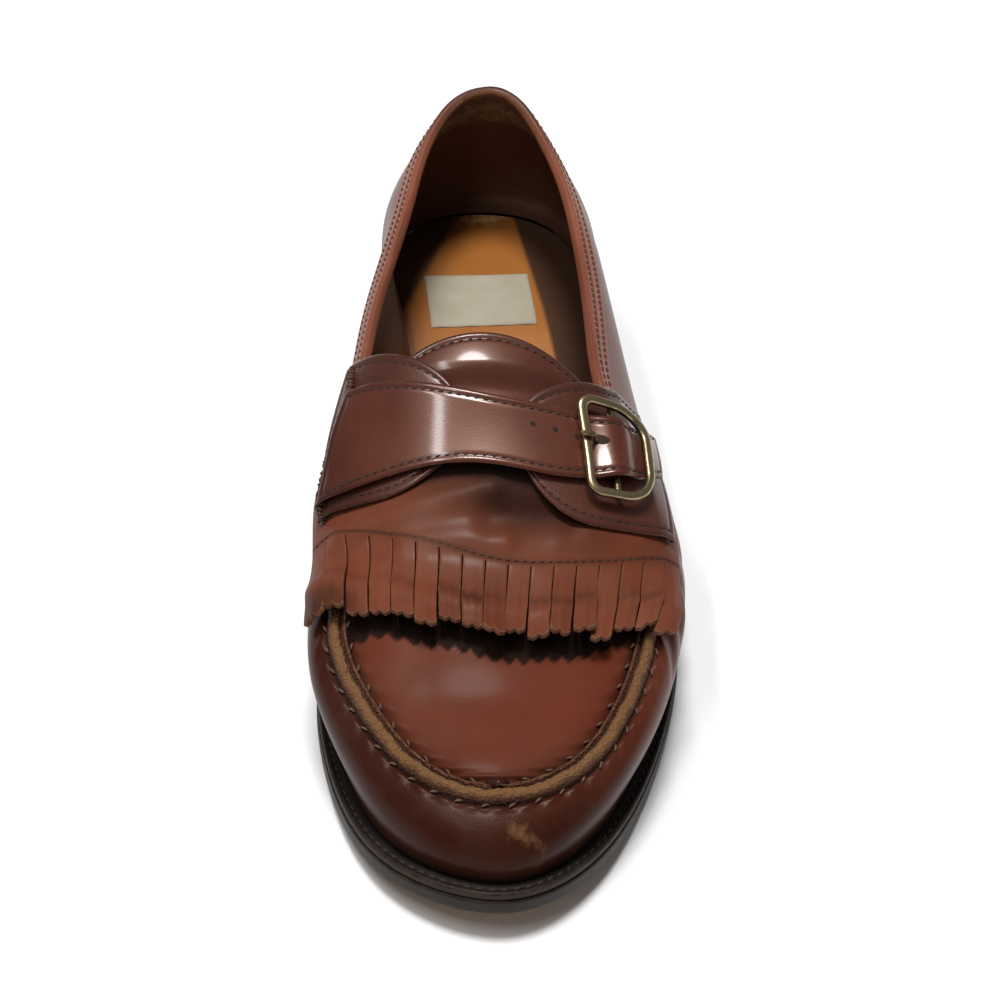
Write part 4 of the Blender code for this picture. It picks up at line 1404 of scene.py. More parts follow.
    def painted_fringe_shadow(self, pair: Array, across: Array) -> Array:
        """Painted shadow of the fringe on the apron: it ends in one soft tooth a strip, ahead of the tips.

        Args:
            pair: Shares of the way from toe to heel.
            across: Shares across the apron, -1 to 1.

        Returns:
            Marks from 0 to 1.
        """
        girth = 0.66 * across
        curve = open_spline(np.array(Kiltie.table), CURVE_POINTS)
        ahead = (np.interp(girth, curve[:, 0], curve[:, 3]) - pair) * PAIR_SPAN
        tooth = np.abs(((girth - curve[0, 0]) / self.strip_pitch) % 1.0 - 0.5) * 2
        sides = 0.5 * eased((-girth - 0.10) / 0.3) + 0.25 * eased((girth - 0.25) / 0.2)
        reach = self.fringe_shadow_reach * (1 + sides) - 2.0 * MM * tooth**1.5
        return 0.95 * (1 - eased((ahead - reach) / (0.8 * MM)))

    def apron(self) -> None:
        """The apron: the crown's surface from the toe's seam to its end under the strap."""
        t = np.linspace(0, 1, 180)
        pair = np.broadcast_to(THROAT * t[:, None] ** 1.6, (180, 150))
        across = np.broadcast_to(np.linspace(-1, 1, 150), pair.shape)
        grid = sunk(LAST.crown(pair, across), self.apron_creases)
        line_u = np.linspace(-THROAT / 2, THROAT / 2, 500)
        line = LAST.seam_line(line_u, np.full(500, LAST.seam_width))
        edge = np.stack([np.linalg.norm(row[:, None] - line, axis=-1).min(axis=1) for row in grid])
        fade = 1 - eased((pair - 0.24) / 0.08)
        dip = self.groove * bell(edge / (1.5 * MM)) * fade
        ripple = self.ripple(np.where(across < 0, -pair, pair) / 2)
        pucker = self.pucker * ripple * bell((edge - 1.6 * MM) / (1.5 * MM))
        grid = grid - grid_normals(grid) * (dip - pucker * fade)[..., None]
        shade = 0.45 * eased((-grid[..., 1] - 0.215) / 0.04) + 0.35 * bell((edge - 1 * MM) / (4 * MM))
        # Painted shade in the groove along the seam, and the fringe's painted shadow ahead of its tips.
        band = self.painted_fringe_shadow(pair, across)
        mesh = Mesh("apron").grid(
            grid, burnish=np.clip(shade, 0, 1), worn=0.0,
            grime=np.maximum(0.8 * bell(edge / (1.0 * MM)) * fade, band),
        )
        piece = thicken(mesh.make(True), WALL)
        self.wardrobe.dress(piece, Finish.APRON, "upper_leather")

    def beside_rim(self, u: Array, down: Array | float, out: Array | float) -> Array:
        """Points down the wall from the rim by a distance, moved out along its normal.

        Args:
            u: Places round the rim.
            down: Distance below the rim, in metres; it is turned into the wall's own share
                by the length of the Bezier's last handle.
            out: Distance out.

        Returns:
            Points of the broadcast shape.
        """
        u, down, out = np.broadcast_arrays(u, down, out)
        start = LAST.feather(u) + UP * LAST.margin
        reach = np.linalg.norm(LAST.rim(u) - start, axis=-1)
        up = 1 - down / (3 * LAST.rim_reach * reach)
        return LAST.wall(u, up) + LAST.wall_normal(u, up) * out[..., None]

    def collar(self) -> None:
        """The collar band: a strip folded over the topline, stitched twice."""
        u = np.linspace(THROAT / 2 - 0.02, 1 - THROAT / 2 + 0.02, 620)
        rise, band = self.band_rise, self.band
        profile = np.array(
            [
                (band, -0.3 * MM), (band, 0.15 * MM), (band - 0.3 * MM, rise), (band - 1.2 * MM, rise),
                (band - 2.4 * MM, rise - 0.12 * MM), (band - 3.6 * MM, rise), (3.6 * MM, rise + 0.05 * MM),
                (2.6 * MM, rise - 0.10 * MM), (1.5 * MM, rise + 0.05 * MM), (0.7 * MM, rise - 0.05 * MM),
                (0.1 * MM, rise - 0.5 * MM), (-0.25 * MM, -0.3 * MM), (-0.3 * MM, -1.0 * MM),
                (-0.15 * MM, -1.8 * MM), (0.3 * MM, -2.4 * MM), (1.0 * MM, -2.75 * MM),
                (2.2 * MM, -2.8 * MM), (3.4 * MM, -2.75 * MM), (3.6 * MM, -2.5 * MM), (3.6 * MM, -2.0 * MM),
            ]
        )
        fine = open_spline(profile, 58)
        grid = self.beside_rim(u[None, :], fine[:, :1], fine[:, 1:])
        sway = 0.25 * MM * np.sin(u * 37) + 0.15 * MM * np.sin(u * 83 + 1)
        grid = grid + UP * (sway * bell(fine[:, :1] / (6 * MM)))[..., None]
        inside = eased((-fine[:, 1:] - 1.2 * MM) / (1.0 * MM))
        step = bell((fine[:, :1] - band) / (0.35 * MM)) * (fine[:, 1:] > -0.5 * MM)
        topmost = bell((fine[:, 1:] + 0.4 * MM) / (0.9 * MM)) * (fine[:, :1] < 2 * MM)
        # The band darkens towards the back; the near-black line in the step at its lower edge is painted
        # shade.
        back = eased((grid[..., 1] + 10 * MM) / (35 * MM))
        mesh = Mesh("collar_band").grid(
            grid, burnish=np.clip(0.14 + 0.08 * np.sin(u * 29) + 0.25 * topmost + 0.55 * back, 0, 1),
            worn=np.clip(0.40 * inside + 0.15 * topmost + 0.3 * step, 0, 1),
            grime=0.7 * bell((fine[:, :1] - band - 0.1 * MM) / (0.3 * MM)),
        )
        self.wardrobe.dress(mesh.make(), Finish.COLLAR, "upper_leather")
        lines = []
        for down in (band - 2.4 * MM, 2.6 * MM):
            line = self.beside_rim(u, down, rise - 0.02 * MM)
            lines.append((line, unit(self.beside_rim(u, down, rise + 1 * MM) - line)))
        stitching = Stitching(2.9 * MM, 1.9 * MM, 0.55 * MM, 0.12 * MM, 12)
        self.wardrobe.sew("collar_stitches", Finish.THREAD, stitching, *lines)

    def lining(self) -> None:
        """The lining: the wall's own shape, two millimetres in, seen from inside."""
        u = np.linspace(0.1, 0.9, 460)
        ups = np.linspace(0, 0.985, 44)[:, None]
        u, ups = np.broadcast_arrays(u[None, :], ups)
        wrinkle = 0.25 * MM * np.sin(u * 90 + 3 * ups) * bell((ups - 0.5) / 0.3)
        lasted = 1.5 * MM * (1 - eased((ups - 0.05) / 0.07))
        inwards = (WALL + 0.1 * MM + wrinkle + lasted)[..., None]
        grid = LAST.wall(u, ups) - LAST.wall_normal(u, ups) * inwards
        heel = eased((grid[..., 1] + 0.01) / 0.03)
        # The lining darkens towards its lower edge.
        mesh = Mesh("lining").grid(
            grid, flip=True, burnish=0.6 * (1 - ups), worn=0.45 * bell((ups - 0.85) / 0.12) * heel,
            grime=0.0,
        )
        self.wardrobe.dress(mesh.make(), Finish.LINING, "upper_leather")

    def build(self) -> None:
        """Makes every piece of the upper."""
        self.wall()
        self.seam()
        self.apron()
        self.collar()
        self.lining()


@dataclass
class Tongue:
    """The tongue: an arched leaf level with the instep, edge rolled and stitched."""

    wardrobe: Wardrobe
    start: float = 0.40
    corner: float = 0.47
    top: float = 0.508
    thickness: float = 2 * MM
    inset: float = 2.2 * MM

    def surface(self, share: Array, across: Array) -> Array:
        """Points from the start (0) to the arched top edge (1), sunk where the apron covers it.

        Args:
            share: Shares of the way up the leaf.
            across: Shares across, -1 to 1.

        Returns:
            Points.
        """
        ends = self.corner + (self.top - self.corner) * (1 - across**2)
        pairs = self.start + (ends - self.start) * share
        grid = LAST.crown(pairs, across)
        below = (WALL + 0.5 * MM) * (1 - eased((pairs - THROAT - 0.01) / 0.03))
        return grid - grid_normals(grid) * below[..., None]

    def build(self) -> None:
        """Makes the leaf, then its stitches along the top edge."""
        across = np.broadcast_to(np.linspace(-1, 1, 140), (64, 140))
        share = np.broadcast_to(np.linspace(0, 1, 64)[:, None] ** 0.8, across.shape)
        grid = self.surface(share, across)
        steps = np.linalg.norm(np.diff(grid, axis=0), axis=-1)
        run = np.concatenate([np.zeros((1, 140)), np.cumsum(steps, axis=0)])
        edge = run[-1] - run
        line = bell((edge - self.inset) / (0.5 * MM))
        roll = 0.35 * MM * bell((edge - 0.8 * MM) / (0.9 * MM)) - 0.25 * MM * line
        grid = grid + grid_normals(grid) * roll[..., None]
        # The stitch line is darkened as painted shade of its holes.
        mesh = Mesh("tongue_leaf").grid(
            grid,
            burnish=0.25 + 0.5 * bell(edge / (1.2 * MM)) + 0.25 * bell((edge - 9 * MM) / (5 * MM)),
            worn=0.0, grime=0.55 * line,
        )
        piece = thicken(mesh.make(), self.thickness, 0.4 * MM)
        self.wardrobe.dress(piece, Finish.STRAP, "upper_leather", ("tongue",))
        row = np.argmin(np.abs(edge - self.inset), axis=0)
        columns = np.arange(3, 137)
        path = grid[row[columns], columns]
        normals = grid_normals(grid)[row[columns], columns]
        stitching = Stitching(2.7 * MM, 1.8 * MM, 0.6 * MM, 0.15 * MM, 10)
        self.wardrobe.sew("tongue_stitches", Finish.DARK_THREAD, stitching, (path, normals))


KILTIE_FACE = 1.9 * MM
EAR_FACE = KILTIE_FACE + 2.1 * MM
STRAP_FACE = EAR_FACE + 2.5 * MM
PAIR_SPAN = 310 * MM
GIRTH_SPAN = 109 * MM


@dataclass(frozen=True)
class Fold:
    """A soft trough or ridge on a laid sheet, from one pair and girth to another."""

    pair: float
    girth: float
    to_pair: float
    to_girth: float
    height: float
    width: float

    def at(self, pair: Array, girth: Array) -> Array:
        """Its height at places on the form: a bell of the distance from its straight run.

        Args:
            pair: Shares of the way from toe to heel.
            girth: Shares across, -1 to 1.

        Returns:
            Heights.
        """
        start = np.array([self.pair * PAIR_SPAN, self.girth * GIRTH_SPAN])
        run = np.array([self.to_pair * PAIR_SPAN, self.to_girth * GIRTH_SPAN]) - start
        place = np.stack([pair * PAIR_SPAN, girth * GIRTH_SPAN], axis=-1)
        share = np.clip((place - start) @ run / (run @ run), 0, 1)
        away = np.linalg.norm(place - start - share[..., None] * run, axis=-1)
        return self.height * bell(away / self.width)


class Layout(NamedTuple):
    """The kiltie's points: rows from its top edge to its tips, columns across its strips."""

    pairs: Array
    girths: Array
    hang: Array
    roots: Array
    tips: Array
    strip: Array
    bow: Array
    sway: Array


@dataclass
class Kiltie:
    """The kiltie: a smooth sheet that is slit into a fringe with pinked ends."""

    wardrobe: Wardrobe
    strips: int = 17
    per_strip: int = 9
    smooth_rows: int = 44
    hanging_rows: int = 34
    slit: float = 0.38 * MM
    lift: float = 7.4 * MM
    tooth: float = 1.1 * MM
    thickness: float = 1.4 * MM
    seed: int = 7
    # Middle and half sizes of the painted shade in the hollow under the strap.
    hollow: tuple[float, float] = (0.340, 0.11)
    hollow_size: tuple[float, float] = (9 * MM, 25 * MM)
    # Pairs of the strap's lower edge at these girths, where its painted shadow starts.
    cover_girths: tuple[float, ...] = (-0.54, -0.15, 0.03, 0.17, 0.30)
    cover_pairs: tuple[float, ...] = (0.372, 0.373, 0.368, 0.364, 0.370)
    table: tuple[Strip, ...] = (
        Strip(-0.63, 0.415, 0.343, 0.262),
        Strip(-0.50, 0.415, 0.337, 0.263),
        Strip(-0.35, 0.415, 0.323, 0.249),
        Strip(-0.18, 0.415, 0.306, 0.233),
        Strip(0.00, 0.415, 0.291, 0.220),
        Strip(0.18, 0.415, 0.291, 0.219),
        Strip(0.36, 0.415, 0.301, 0.227),
        Strip(0.50, 0.415, 0.315, 0.243),
        Strip(0.63, 0.415, 0.328, 0.262),
    )
    folds: tuple[Fold, ...] = (
        Fold(0.336, -0.50, 0.352, -0.02, 1.7 * MM, 4.5 * MM),
        Fold(0.330, -0.02, 0.333, 0.22, -1.7 * MM, 5.0 * MM),
        Fold(0.316, -0.30, 0.312, 0.02, 1.0 * MM, 4.0 * MM),
        Fold(0.318, 0.20, 0.330, 0.46, 0.8 * MM, 5.0 * MM),
    )

    def layout(self) -> Layout:
        """Columns across the strips, a slit between each two, and rows from the top to the tips.

        The tips end in a triangle wave of two teeth a strip.

        Returns:
            The points' places and each column's own draws.
        """
        rng = np.random.default_rng(self.seed)
        edges = np.linspace(self.table[0].girth, self.table[-1].girth, self.strips + 1)
        across = np.linspace(-1, 1, self.per_strip)
        middle = (edges[1:] + edges[:-1])[:, None] / 2
        reach = (edges[1:] - edges[:-1])[:, None] / 2 - self.slit / 2 / GIRTH_SPAN
        girths = (middle + reach * across).ravel()
        strip = np.repeat(np.arange(self.strips), self.per_strip)
        bow = np.tile(across, self.strips)
        curve = open_spline(np.array(self.table), CURVE_POINTS)
        tops, roots, tips = (np.interp(girths, curve[:, 0], curve[:, k]) for k in (1, 2, 3))
        sway = rng.normal(0, 1, (4, self.strips))[:, strip]
        teeth = np.tile(np.abs((np.arange(self.per_strip) % 4) - 2) / 2, self.strips)
        teeth = (teeth + 0.35 * sway[2] * bow - 0.5) * self.tooth / PAIR_SPAN
        tips = tips + 0.004 * np.sin(2.3 * strip) + 0.0026 * sway[0] + teeth
        smooth = np.linspace(0, 1, self.smooth_rows)[:, None]
        hanging = np.linspace(0, 1, self.hanging_rows)[1:, None]
        pairs = np.concatenate([tops + (roots - tops) * smooth, roots + (tips - roots) * hanging])
        hang = np.concatenate([0 * smooth, hanging])
        return Layout(pairs, np.broadcast_to(girths, pairs.shape), hang, roots, tips, strip, bow, sway)

    def lifts(self, at: Layout) -> Array:
        """Height over the form: the folds, and on a strip a power of its hang, a bow and a knee.

        Args:
            at: The kiltie's points.

        Returns:
            Heights.
        """
        droop = 1 - 0.55 * (at.girths / self.table[-1].girth) ** 4
        stand = self.lift * droop * (1 + 0.15 * np.sin(1.7 * at.strip) + 0.05 * at.sway[1])
        knee = MM * (0.75 + 0.15 * at.sway[0]) * bell((at.hang - 0.60 - 0.03 * at.sway[3]) / 0.13)
        dip = 0.35 * MM * (1.2 + at.sway[3]) * bell((at.hang - 1) / 0.12)
        bowed = 0.30 * MM * at.bow**2 - 0.40 * MM * at.sway[2] * at.bow
        curl = stand * at.hang**1.4 - bowed * at.hang + knee - dip
        fade = eased(1.6 * (at.pairs - at.tips) / np.maximum(at.roots - at.tips, 1e-6) - 0.6)
        folds = sum(fold.at(at.pairs, at.girths) for fold in self.folds)
        return curl * (at.hang > 0) + KILTIE_FACE + fade * folds

    def marks(self, at: Layout) -> dict[str, Array]:
        """An uneven tone from strip to strip, rubbed tips, and painted shade: hollow, knees, stitch line,
        under and below the strap.

        Args:
            at: The kiltie's points.

        Returns:
            Marks from 0 to 1 by name.
        """
        girths, hang, sway = at.girths, at.hang, at.sway
        sheet = hang <= 0
        to_root = np.abs(at.pairs - at.roots) * PAIR_SPAN
        # Painted shade of the stitch holes, along the line just over the root.
        line = bell((to_root - 1.2 * MM) / (0.5 * MM)) * sheet
        rubbed = 0.45 * bell((hang - 1) / 0.03) + 0.30 * np.abs(at.bow) ** 8 * (hang > 0.02)
        # Painted shade in the hollow under the strap.
        place = np.stack([at.pairs * PAIR_SPAN, girths * GIRTH_SPAN], axis=-1)
        hollow_at = [self.hollow[0] * PAIR_SPAN, self.hollow[1] * GIRTH_SPAN]
        hollow = np.linalg.norm((place - hollow_at) / self.hollow_size, axis=-1)
        tone = 0.12 + 0.12 * sway[1] * eased(hang / 0.15) + 0.80 * bell(hollow) * (1 - eased(hang / 0.1))
        # Painted shade on the sheet's upper part, up under the strap and ears.
        tone = tone + 0.35 * eased((to_root - 10 * MM) / (8 * MM)) * sheet
        # Painted shade in each strip's knee.
        bend = bell((hang - 0.48 - 0.05 * sway[3]) / 0.07)
        tone = tone + (0.28 + 0.16 * sway[0]).clip(0, 0.6) * bend
        # The medial strips darken towards their tips.
        tone = tone + 0.75 * eased((hang - 0.5) / 0.35) * eased((-girths - 0.36) / 0.16)
        # Painted shadow of the strap: dark from just ahead of its lower edge onwards, under it.
        covered = np.interp(girths, self.cover_girths, self.cover_pairs)
        within = eased((girths + 0.46) / 0.08) * eased((0.44 - girths) / 0.08)
        under = 0.88 * within * eased(((at.pairs - covered) * PAIR_SPAN + 4.5 * MM) / (3.0 * MM))
        return {
            "burnish": np.clip(tone, 0, 1),
            "worn": np.clip(rubbed, 0, 1),
            "grime": np.maximum(0.6 * line, under),
        }

    def sheet(self) -> None:
        """Makes the smooth sheet with its fringe, from the tips up."""
        at = self.layout()
        sideways = 0.06 * self.slit / GIRTH_SPAN * at.hang * at.sway[0] + 0.003 * at.sway[1] * at.hang**2
        grid = LAST.laid(at.pairs, at.girths + sideways, self.lifts(at))
        keep = np.ones((grid.shape[0] - 1, grid.shape[1] - 1), bool)
        keep[: self.hanging_rows - 1, self.per_strip - 1 :: self.per_strip] = False
        upturned = {name: values[::-1] for name, values in self.marks(at).items()}
        mesh = Mesh("kiltie_fringe").grid(grid[::-1], keep=keep, **upturned)
        piece = thicken(mesh.make(), self.thickness, 0.2 * MM)
        self.wardrobe.dress(piece, Finish.FRINGE, "upper_leather", ("kiltie",))

    def stitches(self) -> None:
        """Makes one row of stitches just over the fringe's root."""
        curve = open_spline(np.array(self.table), CURVE_POINTS)
        girth = np.linspace(self.table[0].girth + 0.02, self.table[-1].girth - 0.02, 260)
        pair = np.interp(girth, curve[:, 0], curve[:, 2]) + 1.2 * MM / PAIR_SPAN
        folds = sum(fold.at(pair, girth) for fold in self.folds)
        line = LAST.laid_line(pair, girth, KILTIE_FACE + folds * 0.8)
        stitching = Stitching(2.4 * MM, 1.5 * MM, 0.45 * MM, 0.12 * MM, 10)
        self.wardrobe.sew("kiltie_stitches", Finish.DARK_THREAD, stitching, line)

    def build(self) -> None:
        """Makes the sheet, then its stitches."""
        self.sheet()
        self.stitches()


@dataclass
class Tab:
    """A leather tab laid over the form: rows of its table along it, points across it."""

    wardrobe: Wardrobe
    name: str
    node: str
    table: tuple[Edge, ...]
    face: float
    thickness: float
    finish: Finish = Finish.EAR
    stitch_inset: float = 2.6 * MM
    long: int = 150
    wide: int = 56
    folds: tuple[Fold, ...] = ()

    def extra_lift(self, pairs: Array, girths: Array) -> Array:
        """More height over the form: the folds."""
        return sum((fold.at(pairs, girths) for fold in self.folds), np.zeros(np.shape(pairs)))

    def place(self, share: Array, rows: Array) -> tuple[Array, Array]:
        """Pairs and girths at a share of the way from the low to the high edge.

        Args:
            share: The shares.
            rows: The table's rows, made dense.

        Returns:
            Pairs, then girths.
        """
        pairs = rows[:, 2] + (rows[:, 0] - rows[:, 2]) * share
        girths = rows[:, 3] + (rows[:, 1] - rows[:, 3]) * share
        return pairs, girths

    def relief(self, edge: Array) -> Array:
        """The edge is rolled down, and the stitch line sinks a little."""
        roll = -0.45 * MM * np.clip(1 - edge / (1.2 * MM), 0, 1) ** 2
        return roll - 0.22 * MM * bell((edge - self.stitch_inset) / (0.55 * MM))

    def marks(self, girths: Array, edge: Array) -> dict[str, Array]:
        """Burnish at the edge and towards the medial end, wear on the edge, painted shade along the stitch
        line.

        Args:
            girths: Shares across, -1 to 1.
            edge: Distances from the border.

        Returns:
            Marks from 0 to 1 by name.
        """
        medial = 0.5 * eased((-girths - 0.30) / 0.2)
        return {
            "burnish": np.clip(0.1 + medial + 0.35 * bell(edge / (1.6 * MM)), 0, 1),
            "worn": 0.25 * bell(edge / (0.5 * MM)),
            "grime": 0.5 * bell((edge - self.stitch_inset) / (0.45 * MM)),
        }

    def build(self) -> None:
        """Makes the tab and its stitches: one row along the low edge and one along the high."""
        rows = open_spline(np.array(self.table), self.long)
        share = (1 - np.cos(np.linspace(0, np.pi, self.wide))) / 2
        pairs, girths = self.place(share[:, None], rows)
        grid = LAST.laid(pairs, girths, self.face + self.extra_lift(pairs, girths))
        edge = edge_distance(grid)
        grid = grid + grid_normals(grid) * self.relief(edge)[..., None]
        mesh = Mesh(self.name).grid(grid, **self.marks(girths, edge))
        piece = thicken(mesh.make(), self.thickness, 0.25 * MM)
        self.wardrobe.dress(piece, self.finish, "upper_leather", (self.node,))
        self.stitch(rows)

    def stitch(self, rows: Array) -> None:
        """Two rows of stitches, each at the inset from its edge.

        Args:
            rows: The table's rows, made dense.
        """
        low, high = self.place(np.zeros(1), rows), self.place(np.ones(1), rows)
        width = np.linalg.norm(
            np.stack([(high[0] - low[0]) * PAIR_SPAN, (high[1] - low[1]) * GIRTH_SPAN]), axis=0
        )
        lines = []
        share = np.clip(self.stitch_inset / np.maximum(width, 1e-6), 0, 0.5)
        cut = slice(4, len(rows) - 4)
        for part in (share, 1 - share):
            pairs, girths = self.place(part, rows)
            pairs, girths = pairs[cut], girths[cut]
            lift = self.face + self.extra_lift(pairs, girths) - 0.2 * MM
            lines.append(LAST.laid_line(pairs, girths, lift))
        stitching = Stitching(2.6 * MM, 1.7 * MM, 0.5 * MM, 0.14 * MM, 10)
        self.wardrobe.sew(self.name + "_stitches", Finish.DARK_THREAD, stitching, *lines)


@dataclass
class Buckle:
    """The brass frame, its centre bar and its prong, in a plane beside the buckle's middle."""

    wardrobe: Wardrobe
    pair: float = 0.402
    girth: float = 0.340
    turn: float = np.radians(6)
    length: float = 30 * MM
    width: float = 21 * MM
    bar: float = 2.5 * MM
    thick: float = 2.2 * MM
    near_corner: float = 3.5 * MM
    far_corner: float = 8.5 * MM
    centre_bar: float = 2 * MM
    prong: float = 1.8 * MM
    prong_offset: float = 1.5 * MM
    hump_reach: float = 0.41
    sides: int = 20
    pair_scale: float = field(init=False)
    girth_scale: float = field(init=False)
    rise: float = field(init=False)

    def __post_init__(self) -> None:
        """Measures the form's scale at the buckle."""
        step = 0.005
        ahead = LAST.form(self.pair + step, self.girth) - LAST.form(self.pair - step, self.girth)
        self.pair_scale = float(np.linalg.norm(ahead)) / step / 2
        wide = 0.02
        side = LAST.form(self.pair, self.girth + wide) - LAST.form(self.pair, self.girth - wide)
        self.girth_scale = float(np.linalg.norm(side)) / wide / 2
        self.rise = self.centre_bar + 0.9 * MM

    def across(self, pair: Array, girth: Array) -> Array:
        """Distance of a place on the form from the centre bar, down the side.

        Args:
            pair: Shares of the way from toe to heel.
            girth: Shares across, -1 to 1.

        Returns:
            Distances.
        """
        down = (girth - self.girth) * self.girth_scale
        back = (pair - self.pair) * self.pair_scale
        return down * np.cos(self.turn) + back * np.sin(self.turn)

    def hump(self, x: Array) -> Array:
        """The strap's rise over the centre bar, 0 to 1, at a distance from it."""
        return 0.5 + 0.5 * np.cos(np.pi * np.clip(x / (self.width * self.hump_reach), -1, 1))

    def on(self, y: Array, x: Array, lift: Array) -> Array:
        """A point beside the buckle's middle: y heelwards, x down the side.

        Args:
            y: Distances.
            x: Distances.
            lift: Heights over the form.

        Returns:
            Points.
        """
        back = y * np.cos(self.turn) + x * np.sin(self.turn)
        down = x * np.cos(self.turn) - y * np.sin(self.turn)
        return LAST.laid(self.pair + back / self.pair_scale, self.girth + down / self.girth_scale, lift)

    def outline(self, count: int) -> Array:
        """The frame's middle line: a straight bar and a rounded D, evenly spaced.

        Args:
            count: How many points.

        Returns:
            Points y, x in the buckle's plane.
        """
        long, wide = (self.length - self.bar) / 2, (self.width - self.bar) / 2
        near, far = self.near_corner, self.far_corner
        quarter = np.linspace(0, np.pi / 2, 25)
        corners = (
            (long - near, -wide + near, near, np.pi / 2),
            (-long + near, -wide + near, near, np.pi),
            (-long + far, wide - far, far, 1.5 * np.pi),
            (long - far, wide - far, far, 2 * np.pi),
        )
        path = np.concatenate(
            [
                np.stack([y + r * np.sin(a + quarter), x + r * np.cos(a + quarter)], axis=1)
                for y, x, r, a in corners
            ]
        )
        path = np.concatenate([path, path[:1]])
        way = way_along(path)
        return at_lengths(np.arange(count) / count * way[-1], way, path)

    def section(self) -> Array:
        """Angles of the points round a section."""
        return (np.arange(self.sides) + 0.5) / self.sides * TURN

    def swept(self, path: Array, lifts: Array, wide: Array, thick: Array, closed: bool,
              square: float) -> Array:
        """Loops of a squared oval section along a path in the buckle's plane.

        Args:
            path: Points y, x.
            lifts: Height of the section's middle at each point.
            wide: Section's width at each point.
            thick: Section's height at each point.
            closed: Whether the path closes.
            square: The oval's power: 1 is round, below 1 is squarer.

        Returns:
            Points, one loop for each point of the path.
        """
        ahead = np.roll(path, -1, 0) - np.roll(path, 1, 0) if closed else np.gradient(path, axis=0)
        ahead = unit(ahead)
        waves = np.cos(self.section()), np.sin(self.section())
        cosine, sine = (np.sign(wave) * np.abs(wave) ** square for wave in waves)
        aside = np.stack([-ahead[:, 1], ahead[:, 0]], axis=1)
        flat = path[:, None] + aside[:, None] * (cosine[None, :] * wide[:, None] / 2)[..., None]
        return self.on(flat[..., 0], flat[..., 1], lifts[:, None] + sine * thick[:, None] / 2)

    def solid(self, name: str, loops: Array, closed: bool, rubbed: Array | float) -> Piece:
        """A piece from loops, with its ends merged and its normals then set outwards."""
        mesh = Mesh(name).grid(loops, wrap_rows=closed, wrap_columns=True, rubbed=rubbed)
        return mesh.make(merge=True, outwards=True)

    @property
    def middle(self) -> float:
        """Height of the frame's middle over the form."""
        return STRAP_FACE + 0.5 * MM + self.thick / 2

    def frame(self) -> None:
        """Makes the D frame, rubbed bright on top and most of all beside the strap."""
        count = 180
        path = self.outline(count)
        full = np.ones(count)
        top = 0.15 + 0.85 * eased((np.sin(self.section()) + 0.1) / 0.8)
        straight = 0.55 + 0.45 * eased((-path[:, 1] - 0.2 * self.width) / (0.2 * self.width))
        loops = self.swept(path, self.middle * full, self.bar * full, self.thick * full, True, 0.8)
        piece = self.solid("buckle_frame_piece", loops, True, straight[:, None] * top)
        self.wardrobe.dress(piece, Finish.BRASS, "buckle_brass", ("buckle_frame",))

    def bar_piece(self) -> None:
        """Makes the centre bar, which drops from the frame to lie under the strap."""
        low = EAR_FACE + 0.5 * MM + self.centre_bar / 2
        share = np.linspace(-1, 1, 60)
        drop = eased((1 - np.abs(share)) / 0.12)
        thin = np.full(share.shape, self.centre_bar)
        path = np.stack([share * (self.length - self.bar) / 2, 0 * share], axis=1)
        loops = self.swept(path, self.middle + (low - self.middle) * drop, thin, thin, False, 1.0)
        piece = self.solid("buckle_centre_bar", loops, False, 0.3)
        self.wardrobe.dress(piece, Finish.BRASS, "buckle_brass")

    def prong_piece(self) -> None:
        """Makes the prong: over the strap's hump, through its hole and onto the frame."""
        share = np.linspace(0, 1, 70)
        tip, root = -self.width / 2 - self.prong * 0.7, -0.24 * self.width
        x = np.linspace(tip, root, len(share))
        over_strap = STRAP_FACE + self.rise * self.hump(x)
        over_frame = np.where(x < -self.width / 2 + 1.3 * self.bar, self.middle + self.thick / 2, 0)
        lifts = np.maximum(over_strap, over_frame) + 0.3 * MM + self.prong / 2
        kernel = bell(np.linspace(-2, 2, 21))
        lifts = np.convolve(np.pad(lifts, 10, "edge"), kernel / kernel.sum(), "valid")
        lifts = lifts - 2.6 * MM * eased((x + 0.31 * self.width) / (0.07 * self.width))
        end = np.sqrt(np.clip(1 - (1 - share / 0.1).clip(0, 1) ** 2, 0, 1))
        size = self.prong * end * (0.8 + 0.2 * share)
        path = np.stack([np.full(len(share), self.prong_offset), x], axis=1)
        loops = self.swept(path, lifts, size, size, False, 1.0)
        piece = self.solid("buckle_prong_piece", loops, False, 0.32)
        self.wardrobe.dress(piece, Finish.BRASS, "buckle_brass", ("buckle_prong",))

    def build(self) -> None:
        """Makes frame, centre bar and prong."""
        self.frame()
        self.bar_piece()
        self.prong_piece()


